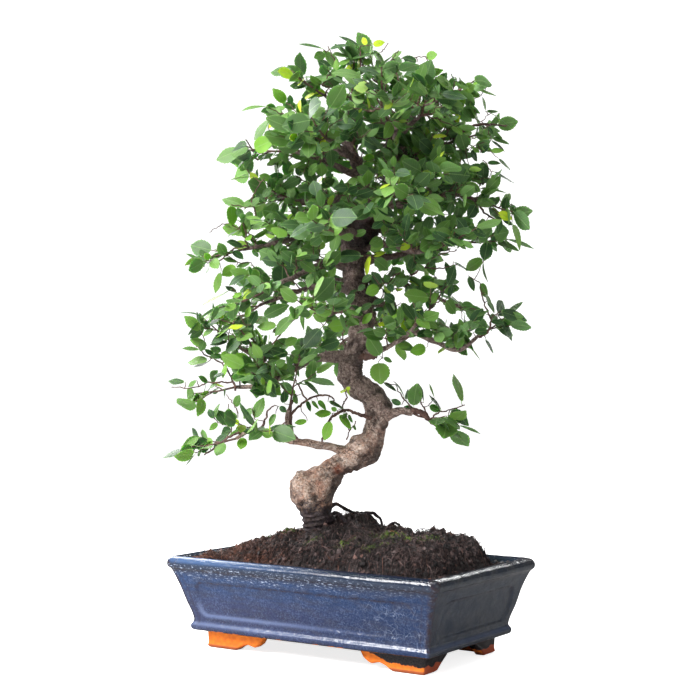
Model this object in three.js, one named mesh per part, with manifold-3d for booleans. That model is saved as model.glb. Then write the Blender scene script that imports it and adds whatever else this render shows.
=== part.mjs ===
// A Chinese elm bonsai in a glazed pot, in millimetres, with +Z up.
// The origin is the middle of the pot's footprint, on the surface that its feet stand on.
// +X runs along the pot's long side and +Y points to its back.

import * as THREE from "three";
import { mergeVertices } from "three/addons/utils/BufferGeometryUtils.js";
import Module from "manifold-3d";

const wasm = await Module();
wasm.setup();

// Every place where one piece sits in or on another keeps this gap, and blades keep the wider one.
const GAP = 0.3;
const BLADE_CLEARANCE = 0.4;

// Joined pieces lose detail that is smaller than this, and points that are nearer than the second are one.
const FINEST = 0.08;
const SAME_POINT = 1e-4;

// The pot: its outer size at the lip, and its walls as [inset from the lip, height], from the underside
// up the outside and over the lip, and then down the inside.
const POT_LENGTH = 273;
const POT_WIDTH = 171;
const LIP_CORNER_RADIUS = 6;
const LOWEST_CORNER_RADIUS = 2.5;
const CORNER_TIGHTENING = 0.25;
const CORNER_STEPS = 3;
const UNDERSIDE = 15.5;
const FLOOR_TOP = 23;
const POT_OUTSIDE = [
  [18.2, UNDERSIDE], [16.2, 16.8], [15.8, 20], [17.6, 23.4], [16.6, 29], [13, 41], [9.2, 54], [4.8, 65],
  [2.8, 69], [0.4, 71.4], [0, 75], [2, 78.6], [6, 80],
];
const POT_INSIDE = [[10.6, 79.4], [13, 77], [16, 64], [23, 34], [30, FLOOR_TOP]];
const PANEL_DEPTH = 1.6;
const PANEL_LOW = 29;
const PANEL_HIGH = 59;
const PANEL_END_MARGIN = 27;
const PANEL_CORNER_RADIUS = 9;
const PANEL_BAR_SPARE = 10;
const ROOM_ABOVE_LIP = 60;

// The four bracket feet, each a pair of plates along the pot's sides: [distance from the corner, height].
const FOOT_INSET = 26;
const FOOT_THICKNESS = 9;
const FOOT_TOP = UNDERSIDE + 1;
const LONG_FOOT = [[0, 0], [31, 0], [36, 3.5], [43, 6], [51, 4], [57, 8], [62, FOOT_TOP]];
const SHORT_FOOT = [[0, 0], [19, 0], [25, 5], [34, 11], [40, FOOT_TOP]];

// Two drainage holes in the floor, each under a square of plastic mesh.
const DRAIN_RADIUS = 8;
const DRAIN_SIDES = 12;
const DRAIN_FROM_MIDDLE = 62;
const SCREEN_SIDE = 26;
const SCREEN_THICKNESS = 1;
const SCREEN_OPENINGS = 3;
const SCREEN_BAR = 1.6;

// The soil: its level at the wall, the mound of the root ball, steeper at its right end, and the hump at
// the foot of the trunk. Its relief is two waves, each with its lengths along the pot's sides.
const SOIL_LEVEL = 73.5;
const MOUND_HEIGHT = 26;
const MOUND_HALF_LENGTH = 119;
const MOUND_HALF_WIDTH = 69;
const MOUND_SQUARENESS = 4;
const MOUND_STEEPNESS = [2.4, 14];
const HUMP_HEIGHT = 18.5;
const HUMP_RADIUS = 28;
const HUMP_STEEPNESS = 2.6;
const HUMP_PLACE = [-1, 6];
const SOIL_CELL = 19;
const SOIL_RELIEF = 1.3;
const SOIL_WAVES = [[6.1, 9.7], [-11.9, 5.3]];

// The tree is planted with its front turned towards the pot's right-hand front corner. Places on it are
// [across its front, depth behind the middle of the pot, height], and a fourth value is the wood's radius.
const TREE_TURN = THREE.MathUtils.degToRad(34);
const TRUNK = [
  [-25, 2, 68, 6], [-27, 1, 84, 9.5], [-26.4, 0, 102, 11.7], [-29.8, -1, 118.5, 13.6], [-32.4, -2, 130, 17.8],
  [-32.3, -3, 135, 20.6], [-26.6, -4, 141.5, 16.4], [-17.3, -5, 150.5, 11.5], [-9.3, -5, 159, 9.4],
  [2.2, -4, 165.3, 11.6], [11.2, -3, 172.4, 13.4], [18.8, 0, 181.5, 9.6], [23.6, 2, 197.5, 9.4],
  [24.2, 4, 207.7, 12.4], [18.9, 6, 217.8, 10.1], [2.5, 6, 230.4, 10.6], [0.5, 4, 245, 9.8], [5, 1, 258, 9.4],
  [11, -2, 277, 10.8], [9.5, -3, 301, 9.2], [3.5, -2, 318, 9.2], [3, 0, 337, 9.6], [5, 1, 352, 14.5],
  [8, 1, 364, 17], [9, 1, 376, 13],
];
const TRUNK_SIDES = 8;
const TRUNK_STEPS = 27;
const TRUNK_KNOBS = [{ share: 0.07, ridges: 2, wind: 1.3 }, { share: 0.05, ridges: 3, wind: -0.9 }];

// The branches, each a route, its radius at either end, and the leafy sprays that it carries.
const BRANCHES = {
  leftLeader: {
    route: [[9, 2, 366], [18, 4, 391], [10, 5, 409], [3, 4, 431], [1, 2, 457], [2, 0, 478]],
    radii: [5.5, 2],
    sprays: 2,
  },
  rightLeader: {
    route: [[13, 0, 366], [28, -2, 388], [36, -3, 407], [34, -4, 429], [43, -2, 446], [56, 2, 464]],
    radii: [6, 2.2],
    sprays: 2,
  },
  topLeft: { route: [[1, 2, 453], [-10, -6, 466], [-22, -10, 476]], radii: [2.2, 1.3], sprays: 1 },
  topMiddle: { route: [[42, -2, 445], [36, 10, 466], [28, 18, 484]], radii: [2.4, 1.3], sprays: 1 },
  topRight: { route: [[51, 1, 458], [62, -8, 466], [74, -14, 470]], radii: [2.4, 1.3], sprays: 1 },
  topBack: { route: [[2, 3, 440], [6, 28, 456], [8, 50, 468]], radii: [2.4, 1.3], sprays: 1 },
  topFront: { route: [[34, -4, 429], [32, -30, 448], [26, -52, 460]], radii: [2.6, 1.3], sprays: 1 },
  leftCrown: { route: [[3, 4, 434], [-18, 18, 446], [-38, 28, 456]], radii: [2.4, 1.3], sprays: 1 },
  leftTop: {
    route: [[10, 5, 409], [-12, -4, 416], [-34, -12, 424], [-52, -18, 428]],
    radii: [2.8, 1.4],
    sprays: 2,
  },
  rightCrown: {
    route: [[35, -3, 412], [56, 4, 422], [74, 10, 434], [90, 14, 440]],
    radii: [3.2, 1.4],
    sprays: 2,
  },
  frontCrown: { route: [[6, 4, 420], [-8, -26, 430], [-20, -51, 433]], radii: [2.6, 1.4], sprays: 1 },
  backCrown: { route: [[35, -4, 424], [46, 26, 432], [54, 52, 434]], radii: [2.8, 1.4], sprays: 1 },
  leftHigh: {
    route: [[7, 1, 370], [-24, 12, 384], [-54, 20, 390], [-76, 28, 400]],
    radii: [3.2, 1.4],
    sprays: 2,
  },
  rightHigh: {
    route: [[24, -1, 384], [56, -10, 382], [88, -16, 390], [108, -14, 386]],
    radii: [3.4, 1.4],
    sprays: 2,
  },
  backHigh: {
    route: [[9, 3, 372], [-6, 34, 390], [-14, 60, 396], [-26, 80, 392]],
    radii: [3.2, 1.4],
    sprays: 1,
  },
  frontHigh: { route: [[14, -1, 370], [28, -32, 384], [40, -62, 386]], radii: [3, 1.4], sprays: 1 },
  rightBackHigh: { route: [[26, -1, 386], [50, 24, 396], [74, 46, 398]], radii: [2.8, 1.4], sprays: 1 },
  leftArm: {
    route: [[4, 0, 358], [-28, -4, 362], [-56, -8, 352], [-92, -6, 344]],
    radii: [4.4, 1.5],
    sprays: 2,
  },
  rightFront: {
    route: [[6, 0, 346], [36, -20, 346], [56, -36, 339], [70, -46, 342]],
    radii: [3, 1.4],
    sprays: 1,
  },
  rightMiddle: {
    route: [[8, 0, 334], [40, 4, 340], [74, 12, 350], [96, 10, 352]],
    radii: [3.4, 1.4],
    sprays: 2,
  },
  backRight: {
    route: [[8, 0, 356], [24, 32, 364], [36, 54, 360], [44, 70, 353]],
    radii: [3.2, 1.4],
    sprays: 1,
  },
  backLeft: {
    route: [[4, -2, 322], [-14, 34, 334], [-32, 56, 340], [-48, 72, 336]],
    radii: [3.2, 1.4],
    sprays: 1,
  },
  frontMiddle: { route: [[8, 0, 348], [2, -34, 358], [-8, -66, 352]], radii: [3, 1.4], sprays: 1 },
  leftFront: {
    route: [[3, -1, 334], [-26, -18, 330], [-50, -34, 318], [-72, -46, 306]],
    radii: [3.4, 1.4],
    sprays: 1,
  },
  leftBack: {
    route: [[5, -2, 308], [-22, 18, 314], [-52, 32, 308], [-80, 40, 298]],
    radii: [3.2, 1.4],
    sprays: 2,
  },
  rightArm: {
    route: [[9, -2, 304], [40, 0, 290], [62, -4, 271], [92, -6, 259], [112, 0, 271]],
    radii: [4.2, 1.5],
    sprays: 2,
  },
  rightBack: {
    route: [[6, -2, 318], [36, 20, 318], [62, 36, 312], [84, 46, 302]],
    radii: [3, 1.4],
    sprays: 1,
  },
  backLow: {
    route: [[10, -2, 274], [16, 32, 278], [8, 60, 274], [-6, 80, 266]],
    radii: [3, 1.4],
    sprays: 1,
  },
  frontLow: { route: [[10, -3, 288], [-2, -34, 292], [-18, -62, 286]], radii: [2.8, 1.4], sprays: 1 },
  rightMid: {
    route: [[7, 1, 256], [26, -14, 258], [44, -28, 268], [58, -34, 282]],
    radii: [2.6, 1.4],
    sprays: 1,
  },
  leftMid: {
    route: [[1, 4, 252], [-30, 0, 251], [-58, -8, 236], [-78, -12, 227], [-98, -4, 226]],
    radii: [4.4, 1.5],
    sprays: 2,
  },
  leftMidUpper: { route: [[-60, -8, 234], [-80, 2, 250], [-98, 8, 262]], radii: [2.2, 1.3], sprays: 1 },
  lowRight: {
    route: [[24, 0, 199], [36, -6, 203], [45, -9, 205], [53, -10, 204]],
    radii: [3.8, 1.6],
    sprays: 1,
  },
  lowLeft: {
    route: [
      [0, -4, 167], [-14, -8, 174], [-50, -13, 181],
      [-75, -18, 188], [-86, -22, 189], [-96, -26, 183],
    ],
    radii: [4, 1.5],
    sprays: 2,
  },
  lowLeftUpper: {
    route: [[-49, -13, 181], [-54, -19, 196], [-52, -24, 207]],
    radii: [2.2, 1.3],
    sprays: 1,
  },
  backInner: { route: [[33, -3, 400], [31, 18, 408], [25, 34, 411]], radii: [2.6, 1.3], sprays: 1 },
  rightFrontHigh: { route: [[30, -2, 393], [46, -22, 397], [55, -38, 400]], radii: [2.6, 1.3], sprays: 1 },
  leftBackHigh: { route: [[-4, 32, 389], [-18, 40, 391], [-29, 45, 390]], radii: [2.2, 1.3], sprays: 1 },
  rightTopFront: { route: [[44, -2, 447], [54, -16, 452], [60, -28, 456]], radii: [2.2, 1.3], sprays: 1 },
  frontInner: { route: [[11, 0, 366], [17, -24, 371], [14, -44, 373]], radii: [2.6, 1.3], sprays: 1 },
  leftInner: { route: [[4, 4, 426], [-12, 6, 429], [-25, 8, 430]], radii: [2.2, 1.3], sprays: 1 },
  backLeftLow: { route: [[5, -2, 312], [-4, 26, 319], [-13, 41, 321]], radii: [2.6, 1.3], sprays: 1 },
};
const BRANCH_SIDES = 4;

// The roots: three that arch out of the soil beside the trunk, and three that spread below.
const ROOTS = [
  {
    route: [
      [-26, 0, 106], [-17, 6, 120], [-11, 8, 123], [-5, 8, 119],
      [4, 8, 118.5], [12, 8, 118.5], [19, 8, 114], [22, 8, 100],
    ],
    radii: [2.6, 1.7],
  },
  {
    route: [
      [-26, 0, 86], [-2, 6, 96], [7, 9, 111], [13, 10, 120],
      [20, 10, 119], [25, 10, 111], [27, 10, 96],
    ],
    radii: [2.8, 1.9],
  },
  {
    route: [
      [-26, 0, 78], [18, 3, 86], [30, 7, 99], [34, 8, 110],
      [39, 8, 113], [44, 8, 106], [46, 8, 90],
    ],
    radii: [2.6, 1.7],
  },
  { route: [[-26, 2, 84], [-46, -8, 66], [-62, -14, 52], [-74, -14, 40]], radii: [5, 2] },
  { route: [[-26, 2, 80], [-30, 22, 66], [-34, 36, 52], [-40, 40, 40]], radii: [4.4, 2] },
  { route: [[-26, 2, 78], [-4, -14, 60], [20, -22, 48], [44, -22, 40]], radii: [5, 2] },
];

// A leafy spray is a twig with two side twigs, and blades on all of them, at these shares of its length.
const SPRAY_LENGTH = 38;
const SPRAY_LENGTH_RANGE = 0.4;
const SPRAY_SWING = 0.7;
const SPRAY_TILTS = [-0.36, 0.44];
const SPRAY_ROLL = 1.3;
const SPRAY_SPACING = 0.42;
const SPRAY_ANGLE = THREE.MathUtils.degToRad(52);
const TWIG_RADII = [1.2, 0.9];
const SIDE_TWIG_RADII = [0.5, 0.75];
const TWIG_SIDES = 3;
const TWIG_STATIONS = [0, 0.5, 1];
const SIDE_TWIG_STATIONS = [0, 1];
const TWIG_LIFT = 0.14;
const SIDE_TWIGS = [{ at: 0.32, length: 0.56, side: 1 }, { at: 0.54, length: 0.5, side: -1 }];
const SIDE_TWIG_ANGLE = THREE.MathUtils.degToRad(48);
const BLADES_ON_TWIG = [{ at: 0.76, side: 1 }, { at: 0.96, side: 0 }];
const BLADES_ON_SIDE_TWIG = [{ at: 0.58, side: 1 }, { at: 0.95, side: 0 }];

// The blades: their lengths, how they stand on a twig, and half of the toothed edge in shares of length.
const BLADE_LENGTHS = [18, 26];
const BLADE_ANGLE = THREE.MathUtils.degToRad(56);
const BLADE_FACING = { up: 0.45, outward: 0.55, random: 1.7 };
const BLADE_GIVE = 0.75;
const BLADE_EDGE = [[0.26, 0.23], [0.53, 0.31], [0.57, 0.25], [0.82, 0.2]];
const BLADE_RIB_AT = 0.45;
const BLADE_HALF_THICKNESS = 0.043;
const BLADE_FOLD = 0.16;
const BLADE_DROOP = 0.1;

const GLAZE = new THREE.MeshStandardMaterial({ color: 0x27365c, roughness: 0.2, metalness: 0 });
const SOIL = new THREE.MeshStandardMaterial({ color: 0x2e211c, roughness: 0.95, metalness: 0 });
const BARK = new THREE.MeshStandardMaterial({ color: 0x7c6657, roughness: 0.85, metalness: 0 });
const LEAF = new THREE.MeshStandardMaterial({ color: 0x2f6b2c, roughness: 0.45, metalness: 0 });
const MESH_PLASTIC = new THREE.MeshStandardMaterial({ color: 0x23262a, roughness: 0.6, metalness: 0 });

const UP = new THREE.Vector3(0, 0, 1);

// Where the first ring of each limb starts to be counted from.
const SIDEWAYS = new THREE.Vector3(0.6, 0.8, 0);

// Gives the same draws, from 0 to 1, each time: the state times 16807, modulo a prime.
function drawsFrom(seed) {
  let state = seed * 7919;
  return () => {
    state = (state * 16807) % 2147483647;
    return state / 2147483647;
  };
}

// Makes a solid of a closed geometry, after moving each of its points where the given function says.
function solidOf(geometry, move = (point) => point) {
  const places = geometry.getAttribute("position").clone();
  for (let i = 0; i < places.count; i++) {
    const moved = move(new THREE.Vector3().fromBufferAttribute(places, i));
    places.setXYZ(i, moved.x, moved.y, moved.z);
  }
  const bare = new THREE.BufferGeometry().setAttribute("position", places);
  if (geometry.index) bare.setIndex(geometry.index);
  const merged = mergeVertices(bare, SAME_POINT);
  return new wasm.Manifold(
    new wasm.Mesh({
      numProp: 3,
      vertProperties: merged.attributes.position.array,
      triVerts: new Uint32Array(merged.index.array),
    }),
  );
}

function meshOf(name, solid, material) {
  const made = solid.simplify(FINEST).getMesh();
  const geometry = new THREE.BufferGeometry()
    .setAttribute("position", new THREE.BufferAttribute(made.vertProperties, 3))
    .setIndex(new THREE.BufferAttribute(made.triVerts, 1));
  geometry.computeVertexNormals();
  const mesh = new THREE.Mesh(geometry, material);
  mesh.name = name;
  return mesh;
}

// How far round its Y axis a point of a lathe, cylinder or sphere lies, as a whole number of steps.
function stepRound(point, steps, start = 0) {
  const turns = Math.atan2(point.x, point.z) / (2 * Math.PI) + start;
  return (Math.round(turns * steps) + steps) % steps;
}

// A prism of a flat shape, standing on the XY plane.
function prism(shape, depth) {
  const options = { depth, bevelEnabled: false, curveSegments: CORNER_STEPS };
  return solidOf(new THREE.ExtrudeGeometry(shape, options));
}

function outlined(points) {
  return new THREE.Shape(points.map(([x, y]) => new THREE.Vector2(x, y)));
}

// Carries a cylinder along a smooth line through these stations, each [x, y, z, radius].
// Each of the knobs swells and narrows it by that share, in ridges that wind round it.
function limb(stations, sides, steps, knobs = []) {
  const line = new THREE.CatmullRomCurve3(stations.map(([x, y, z]) => new THREE.Vector3(x, y, z)));
  const rings = [];
  let across = SIDEWAYS;
  for (let i = 0; i <= steps; i++) {
    const place = (i / steps) * (stations.length - 1);
    const before = Math.min(Math.floor(place), stations.length - 2);
    const radius = THREE.MathUtils.lerp(stations[before][3], stations[before + 1][3], place - before);
    const along = line.getTangent(i / steps);
    across = across.clone().addScaledVector(along, -across.dot(along)).normalize();
    rings.push({ middle: line.getPoint(i / steps), radius, across, over: along.clone().cross(across) });
  }
  return solidOf(new THREE.CylinderGeometry(1, 1, 1, sides, steps), (point) => {
    const ring = Math.round((point.y + 0.5) * steps);
    const { middle, radius, across, over } = rings[ring];
    const angle = Math.atan2(point.x, point.z);
    const swells = knobs.map(({ share, ridges, wind }) => share * Math.sin(ridges * angle + wind * ring));
    const reach = Math.hypot(point.x, point.z) * radius * swells.reduce((sum, swell) => sum + swell, 1);
    return middle
      .clone()
      .addScaledVector(across, Math.cos(angle) * reach)
      .addScaledVector(over, Math.sin(angle) * reach);
  });
}

// A point of a rectangle with rounded corners, this far inside the lip, counted round from its right end.
function onRectangle(inset, step) {
  const radius = Math.max(LIP_CORNER_RADIUS - inset * CORNER_TIGHTENING, LOWEST_CORNER_RADIUS);
  const perCorner = CORNER_STEPS + 1;
  const corner = Math.floor(step / perCorner);
  const angle = ((corner + (step % perCorner) / CORNER_STEPS) * Math.PI) / 2;
  const x = (corner === 0 || corner === 3 ? 1 : -1) * (POT_LENGTH / 2 - inset - radius);
  const y = (corner < 2 ? 1 : -1) * (POT_WIDTH / 2 - inset - radius);
  return [x + radius * Math.cos(angle), y + radius * Math.sin(angle)];
}

// Turns a profile of [inset, height] on a lathe, and draws its circles out to rounded rectangles.
function rectangularLathe(profile) {
  const reach = POT_LENGTH / 2;
  const steps = 4 * (CORNER_STEPS + 1);
  const points = profile.map(([inset, height]) => new THREE.Vector2(reach - inset, height));
  points.unshift(new THREE.Vector2(0, profile[0][1]));
  points.push(new THREE.Vector2(0, profile.at(-1)[1]));
  return solidOf(new THREE.LatheGeometry(points, steps), (point) => {
    const radius = Math.hypot(point.x, point.z);
    if (radius < 1) return new THREE.Vector3(0, 0, point.y);
    const [x, y] = onRectangle(reach - radius, stepRound(point, steps));
    return new THREE.Vector3(x, y, point.y);
  });
}

// The hollow of the pot, smaller than its walls by this gap.
function hollow(gap) {
  const inside = POT_INSIDE.map(([inset, height]) => [inset + gap, height]).reverse();
  inside[0][1] += gap;
  return rectangularLathe([...inside, [POT_INSIDE[0][0] + gap, POT_INSIDE[0][1] + ROOM_ABOVE_LIP]]);
}

function foot(towardsX, towardsY) {
  const long = prism(outlined([...LONG_FOOT, [0, FOOT_TOP]]), FOOT_THICKNESS).rotate([90, 0, 0]);
  const short = prism(outlined([...SHORT_FOOT, [0, FOOT_TOP]]), FOOT_THICKNESS).rotate([90, 0, 90]);
  return long
    .translate([0, FOOT_THICKNESS, 0])
    .add(short)
    .translate([-POT_LENGTH / 2 + FOOT_INSET, -POT_WIDTH / 2 + FOOT_INSET, 0])
    .scale([-towardsX, -towardsY, 1]);
}

// A bar that runs out past the pot, with the outline of the panel on a wall of this length.
function panelBar(length) {
  const half = length / 2 - PANEL_END_MARGIN;
  const round = PANEL_CORNER_RADIUS;
  const shape = new THREE.Shape();
  shape.moveTo(-half + round, PANEL_LOW);
  shape.lineTo(half - round, PANEL_LOW);
  shape.quadraticCurveTo(half, PANEL_LOW, half, PANEL_LOW + round);
  shape.lineTo(half, PANEL_HIGH - round);
  shape.quadraticCurveTo(half, PANEL_HIGH, half - round, PANEL_HIGH);
  shape.lineTo(-half + round, PANEL_HIGH);
  shape.quadraticCurveTo(-half, PANEL_HIGH, -half, PANEL_HIGH - round);
  shape.lineTo(-half, PANEL_LOW + round);
  shape.quadraticCurveTo(-half, PANEL_LOW, -half + round, PANEL_LOW);
  const reach = POT_LENGTH / 2 + PANEL_BAR_SPARE;
  return prism(shape, 2 * reach).translate([0, 0, -reach]).rotate([90, 0, 0]);
}

function pot() {
  const body = rectangularLathe([...POT_OUTSIDE, ...POT_INSIDE]);
  const panelFloor = rectangularLathe(POT_OUTSIDE.map(([inset, height]) => [inset + PANEL_DEPTH, height]));
  const bars = panelBar(POT_LENGTH).add(panelBar(POT_WIDTH).rotate([0, 0, 90]));
  let made = body.subtract(bars.subtract(panelFloor));
  for (const [x, y] of [[1, 1], [-1, 1], [-1, -1], [1, -1]]) made = made.add(foot(x, y));
  for (const x of [-DRAIN_FROM_MIDDLE, DRAIN_FROM_MIDDLE]) {
    const bore = new THREE.CylinderGeometry(DRAIN_RADIUS, DRAIN_RADIUS, 2 * FLOOR_TOP, DRAIN_SIDES);
    made = made.subtract(solidOf(bore).rotate([90, 0, 0]).translate([x, 0, UNDERSIDE]));
  }
  return made;
}

// The mesh over a drainage hole: a plate with square openings.
function drainScreen(x) {
  const plate = solidOf(new THREE.BoxGeometry(SCREEN_SIDE, SCREEN_SIDE, SCREEN_THICKNESS));
  const pitch = (SCREEN_SIDE - SCREEN_BAR) / SCREEN_OPENINGS;
  const side = pitch - SCREEN_BAR;
  const opening = solidOf(new THREE.BoxGeometry(side, side, 2 * SCREEN_THICKNESS));
  const openings = [];
  for (let row = 0; row < SCREEN_OPENINGS; row++)
    for (let column = 0; column < SCREEN_OPENINGS; column++) {
      const [across, down] = [column, row].map((i) => (i - (SCREEN_OPENINGS - 1) / 2) * pitch);
      openings.push(opening.translate([across, down, 0]));
    }
  const mesh = plate.subtract(wasm.Manifold.union(openings));
  return mesh.translate([x, 0, FLOOR_TOP + GAP + SCREEN_THICKNESS / 2]);
}

// The room that the soil leaves round a screen.
function screenRoom(x) {
  const side = SCREEN_SIDE + 2 * GAP;
  const block = new THREE.BoxGeometry(side, side, 2 * (SCREEN_THICKNESS + 2 * GAP));
  return solidOf(block).translate([x, 0, FLOOR_TOP]);
}

// Turns a place on the tree into the pot's directions, and keeps its radius.
function planted([across, depth, height, radius]) {
  const place = new THREE.Vector3(across, depth, height).applyAxisAngle(UP, TREE_TURN);
  return [place.x, place.y, place.z, radius];
}

// A branch or root as a row of stations that taper from its foot to its tip.
function tapered({ route, radii }, extra = 0) {
  return route.map((place, i) => {
    const radius = THREE.MathUtils.lerp(radii[0], radii[1], i / (route.length - 1));
    return planted([...place, radius + extra]);
  });
}

// All the wood that is grown as one, thicker by this much.
function wood(extra) {
  const trunk = TRUNK.map(([across, depth, height, radius]) => {
    return planted([across, depth, height, radius + extra]);
  });
  trunk[0][2] -= extra;
  trunk.at(-1)[2] += extra;
  const limbs = [limb(trunk, TRUNK_SIDES, TRUNK_STEPS, TRUNK_KNOBS)];
  for (const grown of [...Object.values(BRANCHES), ...ROOTS]) {
    const stations = tapered(grown, extra);
    const tip = new THREE.Vector3(...stations.at(-1));
    const tail = tip.clone().sub(new THREE.Vector3(...stations.at(-2))).setLength(extra);
    tip.add(tail);
    stations[stations.length - 1] = [tip.x, tip.y, tip.z, stations.at(-1)[3]];
    limbs.push(limb(stations, BRANCH_SIDES, stations.length - 1));
  }
  return wasm.Manifold.union(limbs);
}

function soilHeight(x, y) {
  const [far, wide] = [x / MOUND_HALF_LENGTH, y / MOUND_HALF_WIDTH];
  const spread = (far ** MOUND_SQUARENESS + wide ** MOUND_SQUARENESS) ** (1 / MOUND_SQUARENESS);
  const steepness = THREE.MathUtils.lerp(...MOUND_STEEPNESS, ((far + 1) / 2) ** 2);
  const mound = MOUND_HEIGHT * Math.max(0, 1 - spread ** steepness);
  const [humpX, humpY] = planted([...HUMP_PLACE, 0]);
  const near = Math.hypot(x - humpX, y - humpY) / HUMP_RADIUS;
  const hump = HUMP_HEIGHT * Math.exp(-(near ** HUMP_STEEPNESS));
  const crumbs = SOIL_WAVES.map(([long, short]) => SOIL_RELIEF * Math.sin(x / long + y / short));
  return SOIL_LEVEL + mound + hump + crumbs[0] + crumbs[1];
}

function soil(roomForWood) {
  const columns = Math.round(POT_LENGTH / SOIL_CELL);
  const rows = Math.round(POT_WIDTH / SOIL_CELL);
  const block = new THREE.BoxGeometry(POT_LENGTH, POT_WIDTH, 1, columns, rows, 1);
  const heaped = solidOf(block, (point) => {
    if (point.z > 0) point.z = soilHeight(point.x, point.y);
    return point;
  });
  return heaped
    .intersect(hollow(GAP))
    .subtract(screenRoom(-DRAIN_FROM_MIDDLE).add(screenRoom(DRAIN_FROM_MIDDLE)))
    .subtract(roomForWood);
}

// Where a spray grows from a branch and which way it points: the first at the branch's tip, and the others
// behind it, to either side in turn.
function sprayStarts({ route, sprays }) {
  const line = new THREE.CatmullRomCurve3(route.map((place) => new THREE.Vector3(...planted(place))));
  const starts = [];
  for (let i = 0; i < sprays; i++) {
    const at = 1 - i * SPRAY_SPACING;
    const along = line.getTangent(at);
    const aside = along.clone().cross(UP).normalize();
    const turn = i === 0 ? 0 : i % 2 === 0 ? SPRAY_ANGLE : -SPRAY_ANGLE;
    const start = line.getPoint(at);
    if (i === 0) start.addScaledVector(along, GAP);
    const towards = along.multiplyScalar(Math.cos(turn)).addScaledVector(aside, Math.sin(turn));
    starts.push({ start, towards });
  }
  return starts;
}

// A spray's twigs as rows of stations, and its leaf stalks, each { place, along, side, twig direction }.
function sprayPlan({ start, towards }, draw) {
  const length = SPRAY_LENGTH * (1 - SPRAY_LENGTH_RANGE / 2 + SPRAY_LENGTH_RANGE * draw());
  const along = towards.clone().applyAxisAngle(UP, (draw() - 0.5) * SPRAY_SWING);
  along.z += THREE.MathUtils.lerp(SPRAY_TILTS[0], SPRAY_TILTS[1], draw());
  along.normalize();
  const roll = (draw() - 0.5) * SPRAY_ROLL;
  const aside = along.clone().cross(UP).normalize().applyAxisAngle(along, roll);
  const lift = aside.clone().cross(along);
  const onTwig = (from, direction, reach, share) =>
    from
      .clone()
      .addScaledVector(direction, reach * share)
      .addScaledVector(lift, TWIG_LIFT * reach * share * share);
  const main = { from: start, direction: along, reach: length, blades: BLADES_ON_TWIG };
  const twigs = [{ ...main, radii: TWIG_RADII, stations: TWIG_STATIONS }];
  for (const { at, length: share, side } of SIDE_TWIGS) {
    const direction = along
      .clone()
      .multiplyScalar(Math.cos(SIDE_TWIG_ANGLE))
      .addScaledVector(aside, side * Math.sin(SIDE_TWIG_ANGLE));
    const blades = BLADES_ON_SIDE_TWIG.map((blade) => ({ at: blade.at, side: blade.side * side }));
    const grown = { from: onTwig(start, along, length, at), direction, reach: length * share, blades };
    twigs.push({ ...grown, radii: SIDE_TWIG_RADII, stations: SIDE_TWIG_STATIONS });
  }
  const stalks = [];
  for (const { from, direction, reach, blades } of twigs) {
    const twigAside = direction.clone().cross(lift).normalize();
    for (const { at, side } of blades) {
      const angle = side * BLADE_ANGLE;
      const ahead = direction.clone().multiplyScalar(Math.cos(angle));
      const out = ahead.addScaledVector(twigAside, Math.sin(angle));
      stalks.push({ place: onTwig(from, direction, reach, at), out });
    }
  }
  const rows = twigs.map(({ from, direction, reach, radii, stations }) =>
    stations.map((share) => {
      const { x, y, z } = onTwig(from, direction, reach, share);
      return [x, y, z, THREE.MathUtils.lerp(radii[0], radii[1], share)];
    }),
  );
  return { rows, stalks };
}

// One blade of unit length along +X: a ball of two bands pressed flat. Its equator becomes the toothed
// edge, folded up along the rib and drooping to the tip, and its poles the rib's upper and lower side.
function unitBlade() {
  const right = BLADE_EDGE.map(([x, y]) => [x, -y]);
  const left = BLADE_EDGE.map(([x, y]) => [x, y]).reverse();
  const edge = [[0, 0], ...right, [1, 0], ...left];
  return solidOf(new THREE.SphereGeometry(1, edge.length, 2), (point) => {
    const [x, y] = Math.abs(point.y) > 0.5 ? [BLADE_RIB_AT, 0] : edge[stepRound(point, edge.length, 0.25)];
    const thickness = BLADE_HALF_THICKNESS * Math.round(point.y);
    return new THREE.Vector3(x, y, thickness + BLADE_FOLD * Math.abs(y) - BLADE_DROOP * x * x);
  });
}

// A blade on its stalk. It faces up and away from the trunk, with chance in it, and gives way from its own
// direction towards its face.
function blade(model, { place, out }, draw) {
  const outward = new THREE.Vector3(place.x, place.y, 0).normalize();
  const face = new THREE.Vector3(draw() - 0.5, draw() - 0.5, draw() - 0.5);
  face.multiplyScalar(BLADE_FACING.random).addScaledVector(UP, BLADE_FACING.up);
  face.addScaledVector(outward, BLADE_FACING.outward).normalize();
  const along = out.clone().addScaledVector(face, -BLADE_GIVE * out.dot(face)).normalize();
  face.addScaledVector(along, -face.dot(along)).normalize();
  const length = THREE.MathUtils.lerp(BLADE_LENGTHS[0], BLADE_LENGTHS[1], draw());
  const aside = face.clone().cross(along);
  const stance = new THREE.Matrix4()
    .makeBasis(along, aside, face)
    .scale(new THREE.Vector3(length, length, length))
    .setPosition(place);
  return model.transform(stance.elements);
}

function boxesNear(one, other) {
  const a = one.boundingBox();
  const b = other.boundingBox();
  const meet = (low, high) => low.every((least, i) => least < high[i] + BLADE_CLEARANCE);
  return meet(a.min, b.max) && meet(b.min, a.max);
}

function isClearOf(solid, others) {
  const near = others.filter((other) => boxesNear(solid, other));
  return near.every((other) => solid.minGap(other, BLADE_CLEARANCE) >= BLADE_CLEARANCE);
}

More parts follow.
